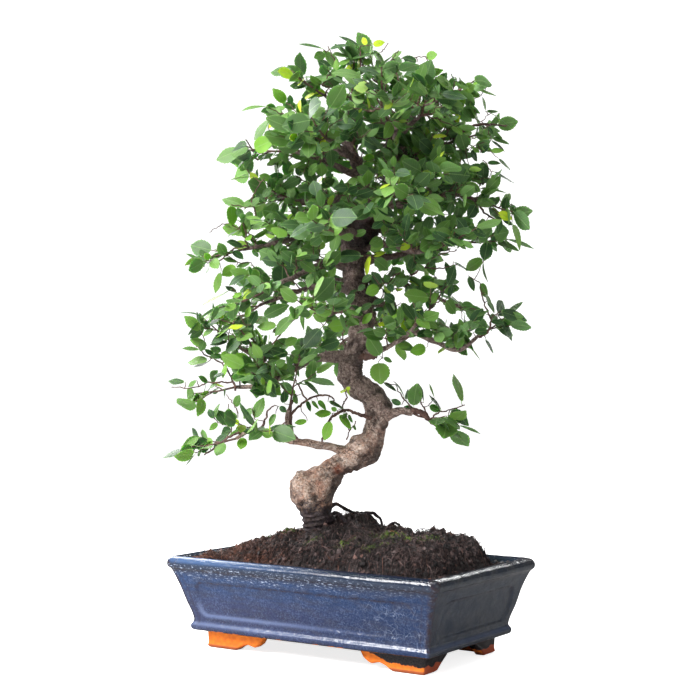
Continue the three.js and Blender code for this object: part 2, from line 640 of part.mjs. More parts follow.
// All the sprays: first their twigs, then their blades. A blade that would meet another spray, the wood or
// a blade of its own spray is left off.
function sprays(trunk, roomForWood) {
  const model = unitBlade();
  const starts = Object.values(BRANCHES).flatMap(sprayStarts);
  const draws = starts.map((_, i) => drawsFrom(i + 1));
  const plans = starts.map((start, i) => sprayPlan(start, draws[i]));
  const made = plans.map(({ rows }) => {
    return wasm.Manifold.union(rows.map((row) => limb(row, TWIG_SIDES, row.length - 1)));
  });
  plans.forEach(({ stalks }, i) => {
    const others = [trunk, ...made.filter((_, j) => j !== i)];
    const blades = [];
    for (const stalk of stalks) {
      const grown = blade(model, stalk, draws[i]);
      if (isClearOf(grown, others) && isClearOf(grown, blades)) blades.push(grown);
    }
    made[i] = wasm.Manifold.union([made[i], ...blades]);
  });
  return made.map((spray) => {
    const bodies = spray.subtract(roomForWood).decompose();
    return bodies.reduce((largest, body) => (body.volume() > largest.volume() ? body : largest));
  });
}

const trunk = wood(0);
const roomForWood = wood(GAP / Math.cos(Math.PI / BRANCH_SIDES));
const bonsai = new THREE.Group();
bonsai.name = "chinese_elm_bonsai";
bonsai.add(meshOf("pot", pot(), GLAZE));
bonsai.add(meshOf("drain_screen_left", drainScreen(-DRAIN_FROM_MIDDLE), MESH_PLASTIC));
bonsai.add(meshOf("drain_screen_right", drainScreen(DRAIN_FROM_MIDDLE), MESH_PLASTIC));
bonsai.add(meshOf("soil", soil(roomForWood), SOIL));
bonsai.add(meshOf("trunk", trunk, BARK));
sprays(trunk, roomForWood).forEach((spray, i) => {
  bonsai.add(meshOf(`spray_${String(i + 1).padStart(2, "0")}`, spray, LEAF));
});

export default bonsai;
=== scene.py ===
"""A Chinese elm bonsai in its glazed pot. Shapes are worked out in millimetres, in the frame of the solids:
the middle of the pot's footprint is the origin, +X runs along its long side, +Y to its back and +Z up."""

import math

import bpy
import numpy as np
from mathutils import Matrix, Vector


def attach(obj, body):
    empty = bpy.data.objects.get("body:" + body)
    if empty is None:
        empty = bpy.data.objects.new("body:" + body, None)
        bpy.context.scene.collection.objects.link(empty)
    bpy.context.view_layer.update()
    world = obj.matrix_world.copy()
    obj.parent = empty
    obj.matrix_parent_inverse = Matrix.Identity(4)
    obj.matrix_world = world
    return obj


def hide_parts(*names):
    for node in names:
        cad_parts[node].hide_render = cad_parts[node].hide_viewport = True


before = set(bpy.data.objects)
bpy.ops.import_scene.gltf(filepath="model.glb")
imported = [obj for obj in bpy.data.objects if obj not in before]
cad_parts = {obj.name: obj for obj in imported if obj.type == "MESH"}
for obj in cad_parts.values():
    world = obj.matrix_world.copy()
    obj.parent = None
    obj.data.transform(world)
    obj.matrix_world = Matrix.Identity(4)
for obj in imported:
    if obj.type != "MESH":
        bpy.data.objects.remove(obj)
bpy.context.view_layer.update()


# The camera looks at the near corner of the pot, a little from below, as the photograph does.
# It is 1.3 m away, and its lens follows from the convergence of the pot's edges.
CAMERA_AZIMUTH = math.radians(33.77)
CAMERA_ELEVATION = math.radians(-0.447)
CAMERA_DISTANCE, CAMERA_HEIGHT = 1300, 257.85
CAMERA_TARGET = Vector((0, 0, CAMERA_HEIGHT / 1000))
SENSOR_WIDTH, LENS_LENGTH = 36, 77.54

to_right = Vector((math.cos(CAMERA_AZIMUTH), math.sin(CAMERA_AZIMUTH), 0))
to_camera = Vector((
    math.sin(CAMERA_AZIMUTH) * math.cos(CAMERA_ELEVATION),
    -math.cos(CAMERA_AZIMUTH) * math.cos(CAMERA_ELEVATION),
    math.sin(CAMERA_ELEVATION),
))
to_top = to_camera.cross(to_right)
lens = bpy.data.cameras.new("camera")
lens.sensor_width, lens.lens = SENSOR_WIDTH, LENS_LENGTH
camera = bpy.data.objects.new("camera", lens)
stance = Matrix((to_right, to_top, to_camera)).transposed().to_4x4()
camera.matrix_world = Matrix.Translation(CAMERA_TARGET + to_camera * (CAMERA_DISTANCE / 1000)) @ stance
bpy.context.collection.objects.link(camera)
bpy.context.scene.camera = camera


# The pot is one piece of fired stoneware. Its body was pressed in a mould, a flared rectangle with a rolled
# lip, a recessed panel on each side and a ledge round the bottom, and was dipped in blue glaze.
POT_LENGTH, POT_WIDTH = 273, 171
POT_OUTSIDE = [
    [18.2, 15.5], [16.4, 16.6], [15.8, 20], [17.6, 23.4], [16.9, 29], [13, 41], [9.2, 54], [4.8, 65],
    [2.8, 69], [0.4, 71.4], [0, 75], [2, 78.6], [6, 80],
]
POT_INSIDE = [[10.6, 79.4], [13, 77], [16, 64], [23, 34], [30, 23]]
OUTSIDE_ROWS, INSIDE_ROWS = 66, 13
LONG_SIDE_STEPS, SHORT_SIDE_STEPS, CORNER_STEPS = 168, 100, 8
LIP_CORNER_RADIUS, CORNER_TIGHTENING, LOWEST_CORNER_RADIUS = 6, 0.25, 2.5
PANEL_LOW, PANEL_HIGH, PANEL_END_MARGIN, PANEL_CORNER, PANEL_DEPTH, PANEL_SOFTNESS = 29, 59, 27, 8, 1.6, 1.7
NOT_ON_PANEL = 9.0
DRAIN_RADIUS, DRAIN_FROM_MIDDLE, DRAIN_SIDES, BORE_BOTTOM, BORE_TOP = 8, 62, 40, 10, 30


def curve_through(stations, at):
    """Points at these shares of a centripetal Catmull-Rom curve. Each stretch between two stations takes an
    equal share and is a cubic, whose end slopes come from the stations round it, weighted by the square root
    of their distances."""
    stations = np.asarray(stations, float)
    row = np.vstack([2 * stations[0] - stations[1], stations, 2 * stations[-1] - stations[-2]])
    place = np.clip(at, 0, 1) * (len(stations) - 1)
    k = np.minimum(place.astype(int), len(stations) - 2)
    t = (place - k)[:, None]
    a, b, c, d = row[k], row[k + 1], row[k + 2], row[k + 3]
    ab, bc, cd = (np.sqrt(np.linalg.norm(q - p, axis=1))[:, None] for p, q in ((a, b), (b, c), (c, d)))
    start = ((b - a) / ab - (c - a) / (ab + bc) + (c - b) / bc) * bc
    end = ((c - b) / bc - (d - b) / (bc + cd) + (d - c) / cd) * bc
    return b + start * t + (3 * (c - b) - 2 * start - end) * t**2 + (2 * (b - c) + start + end) * t**3


def evenly_along(stations, count):
    """The curve through these stations, as this many points at equal distances along it."""
    fine = curve_through(stations, np.linspace(0, 1, 20 * len(stations)))
    run = np.concatenate([[0], np.cumsum(np.linalg.norm(np.diff(fine, axis=0), axis=1))])
    share = np.linspace(0, run[-1], count)
    return np.stack([np.interp(share, run, fine[:, i]) for i in range(fine.shape[1])], axis=1)


def eased(value, low, high):
    """0 below low, 1 above high, and 3t² - 2t³ between them."""
    t = np.clip((value - low) / (high - low), 0, 1)
    return t * t * (3 - 2 * t)


def grain(points, size, seed):
    """Smooth chance from -1 to 1 over space: each corner of a lattice of this size has its draw, and a point
    takes the eight round it, weighted by eased distance."""
    cell = points / size
    corner = np.floor(cell)
    part = cell - corner
    part = part * part * (3 - 2 * part)
    total = np.zeros(len(points))
    for step in np.ndindex(2, 2, 2):
        at = corner + step
        draw = np.sin(at @ (127.1, 311.7, 74.7) + 53.3 * seed) * 43758.5453
        weight = np.prod(np.where(np.array(step, bool), part, 1 - part), axis=1)
        total += weight * (2 * (draw - np.floor(draw)) - 1)
    return total


def pot_ring(inset, side, share):
    """Points round a rectangle with rounded corners. Side counts straight sides and corners in turn, and
    share is how far along it a point lies: a straight run, or a quarter circle of the corner's radius."""
    radius = np.maximum(LIP_CORNER_RADIUS - inset * CORNER_TIGHTENING, LOWEST_CORNER_RADIUS)
    half_x = POT_LENGTH / 2 - inset - radius
    half_y = POT_WIDTH / 2 - inset - radius
    quarter = side // 2
    end_x = np.choose(quarter, [half_x, -half_x, -half_x, half_x])
    end_y = np.choose(quarter, [half_y, half_y, -half_y, -half_y])
    turned = np.where(side % 2 == 1, share, 0) * np.pi / 2 + quarter * np.pi / 2
    from_x = np.choose(quarter, [half_x, half_x, -half_x, -half_x])
    from_y = np.choose(quarter, [-half_y, half_y, half_y, -half_y])
    run = np.where(side % 2 == 1, 1, share)
    x = from_x + (end_x - from_x) * run
    y = from_y + (end_y - from_y) * run
    return x + radius * np.cos(turned), y + radius * np.sin(turned)


def panel_distance(along, height, length):
    """How far a point of a wall lies outside the panel's outline, a rectangle with rounded corners."""
    half = length / 2 - PANEL_END_MARGIN
    middle, tall = (PANEL_LOW + PANEL_HIGH) / 2, (PANEL_HIGH - PANEL_LOW) / 2
    out_x = np.abs(along) - half + PANEL_CORNER
    out_z = np.abs(height - middle) - tall + PANEL_CORNER
    corner = np.hypot(np.maximum(out_x, 0), np.maximum(out_z, 0))
    return corner + np.minimum(np.maximum(out_x, out_z), 0) - PANEL_CORNER


def tube_faces(rings, sides, first=0):
    """Four-cornered faces between rings of points, and a fan of three-cornered ones to a pole at each end."""
    ring, side = np.meshgrid(np.arange(rings - 1), np.arange(sides), indexing="ij")
    after = (side + 1) % sides
    quads = np.stack([ring * sides + side, ring * sides + after, (ring + 1) * sides + after,
                      (ring + 1) * sides + side], axis=-1).reshape(-1, 4)
    side = np.arange(sides)
    after = (side + 1) % sides
    pole = rings * sides
    start = np.stack([after, side, np.full(sides, pole)], axis=1)
    last = (rings - 1) * sides
    end = np.stack([last + side, last + after, np.full(sides, pole + 1)], axis=1)
    return [quads + first, np.vstack([start, end]) + first]


def piece(name, shells, materials, replaces=(), smooth=True):
    """Joins shells into one mesh on the root body. A shell is its points in millimetres, its arrays of faces,
    the number of its material, and values kept at its points."""
    points, faces, numbers, first = [], [], [], 0
    kept = {}
    for shell_points, shell_faces, number, values in shells:
        points.append(shell_points)
        for array in shell_faces:
            faces += (array + first).tolist()
            numbers.append(np.full(len(array), number))
        for key, value in values.items():
            kept.setdefault(key, []).append(value)
        first += len(shell_points)
    mesh = bpy.data.meshes.new(name)
    mesh.from_pydata((np.concatenate(points) / 1000).tolist(), [], faces)
    mesh.polygons.foreach_set("material_index", np.concatenate(numbers).astype(np.int32))
    mesh.polygons.foreach_set("use_smooth", np.full(len(faces), smooth))
    for key, values in kept.items():
        layer = mesh.attributes.new(key, "FLOAT", "POINT")
        layer.data.foreach_set("value", np.concatenate(values).astype(np.float32))
    for material in materials:
        mesh.materials.append(material)
    mesh.update()
    made = bpy.data.objects.new(name, mesh)
    bpy.context.collection.objects.link(made)
    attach(made, "root")
    if replaces:
        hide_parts(*replaces)
    return made


def pot_body():
    """The wall's profile carried round the pot: at each height the ring is inset by the profile, and by the
    panel's depth inside its outline, with a slow wobble of the wet clay."""
    outside = evenly_along(POT_OUTSIDE, OUTSIDE_ROWS)
    inside = evenly_along([POT_OUTSIDE[-1]] + POT_INSIDE, INSIDE_ROWS)[1:]
    profile = np.vstack([outside, inside])
    steps = [LONG_SIDE_STEPS if side % 4 == 2 else SHORT_SIDE_STEPS if side % 4 == 0 else CORNER_STEPS
             for side in range(8)]
    side = np.concatenate([np.full(count, i) for i, count in enumerate(steps)])
    share = np.concatenate([np.arange(count) / count for count in steps])
    inset, height = (np.repeat(profile[:, i:i + 1], len(side), axis=1) for i in (0, 1))
    x, y = pot_ring(inset, side[None], share[None])
    along = np.where(side % 4 == 2, x, y)
    length = np.where(side % 4 == 2, POT_LENGTH, POT_WIDTH)
    outer = np.arange(len(profile))[:, None] < OUTSIDE_ROWS
    apart = np.where(outer & (side % 2 == 0), panel_distance(along, height, length), NOT_ON_PANEL)
    recess = PANEL_DEPTH * (1 - eased(apart, -PANEL_SOFTNESS, PANEL_SOFTNESS))
    wobble = 0.16 * np.sin(x / 17 + height / 9) + 0.14 * np.sin(y / 13 - height / 7)
    x, y = pot_ring(inset + recess + np.where(outer, wobble, 0), side[None], share[None])
    points = np.stack([x, y, height + np.zeros_like(x)], axis=-1).reshape(-1, 3)
    rings, sides = len(profile), len(side)
    quads = tube_faces(rings, sides)[0]
    floor = np.arange((rings - 1) * sides, rings * sides)[None]
    underside = np.arange(sides)[::-1][None]
    near = np.where(side % 2 == 0, np.minimum(share, 1 - share) * length, 0) + 0 * x
    # Short is 1 on the two short sides, which get painted shade in the glaze.
    short = np.choose(side % 4, [1 + 0 * share, 1 - share, 0 * share, share]) + 0 * x
    # Where the glaze breaks brown: along the panel's top edge, at the corners and under the lip. Along the
    # panel's top edge it is also painted shade under the recess's overhang.
    edge = np.exp(-((apart + 0.4) / 1.1) ** 2) * (apart < NOT_ON_PANEL - 1)
    corner = np.exp(-(near / 1.3) ** 2) + 0.8 * np.exp(-((near - 6) / 1) ** 2)
    under_lip = np.exp(-((height - 69.5) / 2) ** 2) * 0.7
    glaze_break_and_shade = np.maximum.reduce([edge * eased(height, 48, 57), corner * (height > 20), under_lip])
    # A painted highlight: a pale band along the panel's lower edge and on the ledge, where they face up to
    # the light, strongest at the left.
    low_in_panel = np.exp(-((apart + 0.2) / 1.5) ** 2) * eased(height, 46, 32) * (apart < NOT_ON_PANEL - 1)
    on_ledge = np.exp(-((height - 21.5) / 1.6) ** 2) * (0.35 + 0.65 * eased(x, 40, -60))
    painted_highlight = np.maximum(low_in_panel * eased(x, 90, -60), on_ledge)
    values = {"glaze_break_and_shade": (glaze_break_and_shade * outer).ravel(), "painted_highlight": (painted_highlight * outer).ravel(), "short": short.ravel(),
              "inside": (1.0 - outer + 0 * x).ravel()}
    return points, [quads, floor, underside], 0, values


def shade(r, g, b):
    """A colour as it looks, 0 to 255, for a shader."""
    looks = np.array([r, g, b]) / 255
    return (*np.where(looks > 0.04045, ((looks + 0.055) / 1.055) ** 2.4, looks / 12.92).tolist(), 1)


def fill(tree, socket, value):
    if isinstance(value, bpy.types.NodeSocket):
        tree.links.new(value, socket)
    else:
        socket.default_value = value


def add(tree, kind, inputs=(), **settings):
    """A shader node with these settings, each named or numbered input filled with a value or a link."""
    made = tree.nodes.new(kind)
    for name, value in settings.items():
        setattr(made, name, value)
    for name, value in dict(inputs).items():
        fill(tree, made.inputs[name], value)
    return made


def reckon(tree, operation, *values):
    made = add(tree, "ShaderNodeMath", operation=operation)
    for socket, value in zip(made.inputs, values):
        fill(tree, socket, value)
    return made.outputs[0]


def between(tree, value, low, high, first=0.0, last=1.0):
    """Eases from the first value to the last while the value goes from low to high."""
    values = {"Value": value, "From Min": low, "From Max": high, "To Min": first, "To Max": last}
    return add(tree, "ShaderNodeMapRange", values, interpolation_type="SMOOTHSTEP").outputs[0]


def times(tree, first, *others):
    for value in others:
        first = reckon(tree, "MULTIPLY", first, value)
    return first


def coat(tree, below, above, *amounts):
    """One colour laid over another by the product of the amounts. Three numbers are a colour as it looks."""
    made = add(tree, "ShaderNodeMix", {0: times(tree, *amounts)}, data_type="RGBA")
    for number, value in ((6, below), (7, above)):
        plain = isinstance(value, tuple) and len(value) == 3
        fill(tree, made.inputs[number], shade(*value) if plain else value)
    return made.outputs[2]


def values_at_points(tree, *names):
    return [add(tree, "ShaderNodeAttribute", attribute_name=name).outputs["Fac"] for name in names]


def effect(name, inputs, outputs):
    """An empty node group with number inputs, a place input where it is named Place, and mask outputs."""
    tree = bpy.data.node_groups.new(name, "ShaderNodeTree")
    for key, value in inputs.items():
        kind = "NodeSocketVector" if key == "Place" else "NodeSocketFloat"
        socket = tree.interface.new_socket(key, in_out="INPUT", socket_type=kind)
        if value is not None:
            socket.default_value = value
    for key in outputs:
        tree.interface.new_socket(key, in_out="OUTPUT", socket_type="NodeSocketFloat")
    return tree, tree.nodes.new("NodeGroupInput").outputs, tree.nodes.new("NodeGroupOutput").inputs


def use(tree, group, out=0, **inputs):
    made = tree.nodes.new("ShaderNodeGroup")
    made.node_tree = group
    for key, value in inputs.items():
        fill(tree, made.inputs[key], value)
    return made.outputs[out]


def blank(name, **values):
    """A material with its node tree, its shader with plain values set on the sockets, and its coordinates."""
    made = bpy.data.materials.new(name)
    made.use_nodes = True
    tree = made.node_tree
    shader = tree.nodes["Principled BSDF"]
    for key, value in values.items():
        shader.inputs[key.replace("_", " ")].default_value = value
    place = tree.nodes.new("ShaderNodeTexCoord").outputs["Object"]
    return made, tree, shader, place


def raised(tree, shader, height, distance, strength=1.0, under=None):
    """A bump of this height over the whole surface, on top of another one."""
    inputs = {"Height": height, "Distance": distance, "Strength": strength}
    if under is not None:
        inputs["Normal"] = under
    made = add(tree, "ShaderNodeBump", inputs).outputs[0]
    fill(tree, shader.inputs["Normal"], made)
    return made


# Cloudy patches, as mottle in a glaze, bark or soil: noise with its contrast between two levels.
mottle, given, out = effect("mottle", {"Place": None, "Size mm": 5.0, "Low": 0.35, "High": 0.65, "Fine": 4.0},
                            ["Mask"])
cloud = add(mottle, "ShaderNodeTexNoise", {"Vector": given["Place"], "Detail": given["Fine"],
                                           "Scale": reckon(mottle, "DIVIDE", 1000.0, given["Size mm"])})
fill(mottle, out["Mask"], add(mottle, "ShaderNodeMapRange", {
    "Value": cloud.outputs[0], "From Min": given["Low"], "From Max": given["High"]}).outputs[0])

# Scattered specks, as bubbles and pinholes: round spots in cells of chance, in a share of the cells.
specks, given, out = effect("specks", {"Place": None, "Cell mm": 2.0, "Size": 0.2, "Share": 0.5}, ["Mask"])
cells = add(specks, "ShaderNodeTexVoronoi", {"Vector": given["Place"],
                                             "Scale": reckon(specks, "DIVIDE", 1000.0, given["Cell mm"])})
spot = between(specks, cells.outputs["Distance"], given["Size"],
               reckon(specks, "MULTIPLY", given["Size"], 0.4))
lot = add(specks, "ShaderNodeSeparateColor", {"Color": cells.outputs["Color"]}).outputs[0]
fill(specks, out["Mask"], reckon(specks, "MULTIPLY", spot, reckon(specks, "LESS_THAN", lot, given["Share"])))


def strayed(tree, place, scale, most):
    """The place moved by up to this far by noise of this scale, so that cells in it have bent edges."""
    noise = add(tree, "ShaderNodeTexNoise", {"Vector": place, "Scale": scale, "Detail": 4.0}).outputs[1]
    moved = add(tree, "ShaderNodeVectorMath", {0: noise, 1: (most,) * 3}, operation="MULTIPLY").outputs[0]
    return add(tree, "ShaderNodeVectorMath", {0: place, 1: moved}, operation="ADD").outputs[0]


def cell_edges(tree, place, scale):
    return add(tree, "ShaderNodeTexVoronoi", {"Vector": place, "Scale": scale},
               feature="DISTANCE_TO_EDGE").outputs["Distance"]


def cloudy(tree, place, size, **levels):
    return use(tree, mottle, Place=place, **{"Size mm": size}, **levels)


def specked(tree, place, cell, size, part):
    return use(tree, specks, Place=place, **{"Cell mm": cell, "Size": size, "Share": part})


glaze, tree, shader, place = blank("blue_glaze_on_stoneware", Roughness=0.16, IOR=1.5)
split = add(tree, "ShaderNodeSeparateXYZ", {"Vector": place})
across, depth, height = (times(tree, split.outputs[i], 1000.0) for i in range(3))
glaze_break_and_shade, painted_highlight, short, inside = values_at_points(tree, "glaze_break_and_shade", "painted_highlight", "short", "inside")
level = add(tree, "ShaderNodeMapping", {"Vector": place, "Scale": (0.25, 0.25, 1.0)}).outputs[0]
patches = cloudy(tree, place, 11.0)
fine = cloudy(tree, place, 1.6, Fine=2.0)
streaks = cloudy(tree, level, 4.0, Low=0.42, High=0.62)
dust = cloudy(tree, place, 1.5, Low=0.45, High=0.8, Fine=6.0)
body = coat(tree, (52, 56, 86), (40, 62, 100), between(tree, height, 36, 62))
# Painted shade: the glaze darkens towards the right, away from the light.
body = coat(tree, body, (24, 44, 78), between(tree, across, -60, 120, 0.0, 0.85))
body = coat(tree, body, (56, 55, 66), streaks, 0.5)
body = coat(tree, body, (24, 38, 66), fine, 0.5)
body = coat(tree, body, (104, 122, 158), dust, between(tree, patches, 0.0, 1.0, 0.15, 0.45))
body = coat(tree, body, (44, 50, 60), between(tree, height, 63, 71, 0.0, 0.75))
# Painted light and shade on the lip: pale blue at the left, dark navy at the right.
lip = coat(tree, (66, 88, 124), (16, 26, 44), between(tree, across, -110, 60))
body = coat(tree, body, lip, between(tree, height, 73.5, 77))
# Painted shade: the short sides greyer and darker, and the inside wall darker.
body = coat(tree, body, coat(tree, (38, 43, 50), (54, 55, 56), patches), short, 0.85)
body = coat(tree, body, (40, 48, 58), inside, 0.7)
# A painted highlight on the panel's lower edge and the ledge.
body = coat(tree, body, (112, 126, 162), painted_highlight, 0.6)
# Brown where the glaze breaks, and painted shade as well along the panel's top edge.
patchy_break_and_shade = times(tree, glaze_break_and_shade, cloudy(tree, place, 4.0, Low=0.3))
body = coat(tree, body, (50, 40, 44), patchy_break_and_shade, 0.85)
long_level = add(tree, "ShaderNodeMapping", {"Vector": place, "Scale": (0.35, 0.35, 1.0)}).outputs[0]
scratches = cloudy(tree, long_level, 1.1, Low=0.56, High=0.72, Fine=6.0)
under_lip = times(tree, between(tree, height, 58, 68), between(tree, height, 76, 72))
scratches = times(tree, scratches, times(tree, under_lip, between(tree, across, 120, -20, 0.25, 1.0)))
white = specked(tree, place, 1.7, 0.2, 0.2)
small = specked(tree, place, 0.8, 0.25, 0.35)
white = reckon(tree, "MAXIMUM", scratches, times(tree, white, between(tree, height, 20, 70, 0.12, 0.5)))
white = reckon(tree, "MAXIMUM", white, times(tree, small, 0.22))
crackle = between(tree, cell_edges(tree, strayed(tree, place, 120.0, 0.007), 190.0), 0.035, 0.005)
where = times(tree, between(tree, across, 38, 74), between(tree, across, 130, 104))
where = times(tree, where, times(tree, between(tree, height, 62, 48), between(tree, height, 16, 28)))
where = times(tree, where, cloudy(tree, place, 9.0, Low=0.4))
crackle = times(tree, crackle, times(tree, where, 0.4))
long_side = reckon(tree, "SUBTRACT", 1.0, times(tree, short, 0.8))
body = coat(tree, body, (172, 184, 208), reckon(tree, "MAXIMUM", white, crackle), long_side)
clay = coat(tree, (238, 126, 12), (220, 106, 12), cloudy(tree, place, 4.0))
clay = coat(tree, clay, (84, 42, 20), specked(tree, place, 3.0, 0.14, 0.25))
# Painted shade: the toe darker brown where it turns under, and the feet's short faces at the right end redder
# and darker.
clay = coat(tree, clay, (170, 84, 36), between(tree, height, 3.4, 2.4))
clay = coat(tree, clay, (156, 66, 32), between(tree, across, 108.6, 109.8))
dark = coat(tree, (30, 28, 30), (48, 42, 42), fine)
ragged = times(tree, cloudy(tree, place, 9.0), 3.0)
edge = reckon(tree, "ADD", between(tree, across, 40, 92, 13.5, 5.0), ragged)
on_foot = coat(tree, clay, dark, between(tree, reckon(tree, "SUBTRACT", height, edge), -0.4, 0.4))
# Painted shade: a dark brown band from 15.2 to 15.8 mm up, which takes in the pot's whole underside.
on_foot = coat(tree, on_foot, (74, 44, 32), between(tree, height, 15.2, 15.4),
               between(tree, height, 15.8, 15.6))
bare = between(tree, reckon(tree, "SUBTRACT", height, times(tree, ragged, 0.1)), 16.6, 16.0)
fill(tree, shader.inputs["Base Color"], coat(tree, body, on_foot, bare))
gloss = times(tree, bare, between(tree, reckon(tree, "SUBTRACT", height, edge), 0.4, -0.4))
uneven = reckon(tree, "ADD", times(tree, patches, 0.04), between(tree, height, 66, 74, 0.13, 0.05))
fill(tree, shader.inputs["Roughness"], reckon(tree, "ADD", uneven, times(tree, gloss, 0.55)))
wave = raised(tree, shader, patches, 0.0006, 0.35)
raised(tree, shader, fine, 0.00012, 0.5, wave)

pot = piece("pot_body", [pot_body()], [glaze], ["pot"])
for x in (-DRAIN_FROM_MIDDLE, DRAIN_FROM_MIDDLE):
    angle = np.linspace(0, 2 * np.pi, DRAIN_SIDES, endpoint=False)
    rim = np.stack([x + DRAIN_RADIUS * np.cos(angle), DRAIN_RADIUS * np.sin(angle), 0 * angle], axis=1)
    bore = bpy.data.meshes.new("bore")
    quads = tube_faces(2, DRAIN_SIDES)[0]
    caps = [list(range(DRAIN_SIDES))[::-1], list(range(DRAIN_SIDES, 2 * DRAIN_SIDES))]
    points = np.vstack([rim + (0, 0, BORE_BOTTOM), rim + (0, 0, BORE_TOP)]) / 1000
    bore.from_pydata(points.tolist(), [], quads.tolist() + caps)
    cutter = bpy.data.objects.new("bore", bore)
    bpy.context.collection.objects.link(cutter)
    cut = pot.modifiers.new("drain", "BOOLEAN")
    cut.operation, cut.object, cut.solver = "DIFFERENCE", cutter, "EXACT"
    bpy.context.view_layer.update()
    bored = bpy.data.meshes.new_from_object(pot.evaluated_get(bpy.context.evaluated_depsgraph_get()))
    pot.modifiers.remove(cut)
    pot.data = bored
    bpy.data.objects.remove(cutter)

# The four bracket feet are one piece with the body. Each turns a corner: its outer face leans in as it goes
# down to a small rolled toe, its lower edge is cut to a bracket, and the glaze ran over some of them.
FOOT_INSET, FOOT_THICKNESS, FOOT_TOP, FOOT_CORNER = 26, 9, 16.5, 3
LONG_FOOT = [[0, 0], [31, 0], [36, 3.5], [43, 6], [51, 4], [57, 8], [61, 15.6]]
SHORT_FOOT = [[0, 0], [19, 0], [25, 5], [34, 11], [39, 15.6]]
FOOT_STEPS, FOOT_ROWS, INNER_ROWS = 96, 12, 6


def pot_foot(towards_x, towards_y):
    """A plate carried round the corner of the foot. Its section has an outer face with the lean 1.2 (1 - h)
    and a toe, a flat underside at the bracket's height, and an inner face."""
    run = np.linspace(-SHORT_FOOT[-1][0], LONG_FOOT[-1][0], FOOT_STEPS)
    on_short, on_long = (np.interp(way, *np.transpose(edge))
                         for way, edge in ((-run, SHORT_FOOT), (run, LONG_FOOT)))
    low = np.where(run < 0, on_short, on_long)
    low = np.convolve(np.pad(low, 1, mode="edge"), [0.25, 0.5, 0.25], "valid")
    turn = np.clip((run + FOOT_CORNER * np.pi / 4) / (FOOT_CORNER * np.pi / 2), 0, 1) * np.pi / 2
    middle = np.stack([np.maximum(run - FOOT_CORNER * np.pi / 4, 0) + FOOT_CORNER,
                       np.maximum(-run - FOOT_CORNER * np.pi / 4, 0) + FOOT_CORNER], axis=1)
    out = -np.stack([np.cos(turn), np.sin(turn)], axis=1)
    share = np.linspace(1, 0, FOOT_ROWS)
    lean = 1.2 * (1 - share) - 1.1 * np.exp(-((share - 0.1) / 0.09) ** 2) + 1.6 * eased(share, 0.06, 0)
    outer = middle[:, None] + out[:, None] * (FOOT_CORNER - lean)[None, :, None]
    outer_z = low[:, None] + (FOOT_TOP - low[:, None]) * share[None]
    inner = middle[:, None] + out[:, None] * np.full((1, INNER_ROWS, 1), FOOT_CORNER - FOOT_THICKNESS)
    inner = np.where(turn[:, None, None] % (np.pi / 2) > 0, np.full(2, FOOT_THICKNESS), inner)
    inner_z = low[:, None] + (FOOT_TOP - low[:, None]) * np.linspace(0, 1, INNER_ROWS)[None]
    plan = np.concatenate([outer, inner], axis=1)
    plan = (plan + (-POT_LENGTH / 2 + FOOT_INSET, -POT_WIDTH / 2 + FOOT_INSET)) * (-towards_x, -towards_y)
    points = np.concatenate([plan, np.concatenate([outer_z, inner_z], axis=1)[..., None]], axis=-1)
    points = np.vstack([points.reshape(-1, 3), points[0].mean(axis=0), points[-1].mean(axis=0)])
    faces = tube_faces(FOOT_STEPS, FOOT_ROWS + INNER_ROWS)
    if towards_x * towards_y < 0:
        faces = [array[:, ::-1] for array in faces]
    bare = {key: np.zeros(len(points)) for key in ("glaze_break_and_shade", "painted_highlight", "short", "inside")}
    return points, faces, 0, bare


piece("pot_feet", [pot_foot(x, y) for x in (-1, 1) for y in (-1, 1)], [glaze], ["pot"])


# The squares of black plastic mesh over the drainage holes, laid in before the soil.
screen, tree, shader, place = blank("screen_plastic", Roughness=0.6)
fill(tree, shader.inputs["Base Color"], coat(tree, (34, 36, 40), (48, 50, 54), cloudy(tree, place, 2.0)))
for name in ("drain_screen_left", "drain_screen_right"):
    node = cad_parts[name]
    node.data.materials.clear()
    node.data.materials.append(screen)


# The soil is peat and bark with a dense net of fine roots, mounded high over the lip where the root ball was
# set in. It is one heap with crumbs of bark, dark fibres and a few straws lying on it.
SOIL_LEVEL, SOIL_BOTTOM, SOIL_HALF_LENGTH, SOIL_HALF_WIDTH, SOIL_TAPER = 73.5, 30, 122.6, 71.6, 0.9
MOUND_HEIGHT, MOUND_HALF_LENGTH, MOUND_HALF_WIDTH = 26, 119, 69
MOUND_SQUARENESS, MOUND_STEEPNESS = 4, (2.4, 14)
HUMP_HEIGHT, HUMP_RADIUS, HUMP_STEEPNESS, HUMP_PLACE = 15, 28, 2.6, (-1, 6)
SOIL_COLUMNS, SOIL_ROWS = 236, 140
TREE_TURN = math.radians(34)
CRUMBS, FIBRES, LOOSE_FIBRES, STRAWS = 3800, 5500, 700, 22
FIBRE_POINTS, FIBRE_SIDES, FIBRE_MARGIN = 5, 3, 9


def planted(places):
    """Places on the tree, [across its front, depth, height], turned by the tree's angle to the pot."""
    places = np.asarray(places, float)
    turned = places.copy()
    turned[..., 0] = places[..., 0] * math.cos(TREE_TURN) - places[..., 1] * math.sin(TREE_TURN)
    turned[..., 1] = places[..., 0] * math.sin(TREE_TURN) + places[..., 1] * math.cos(TREE_TURN)
    return turned


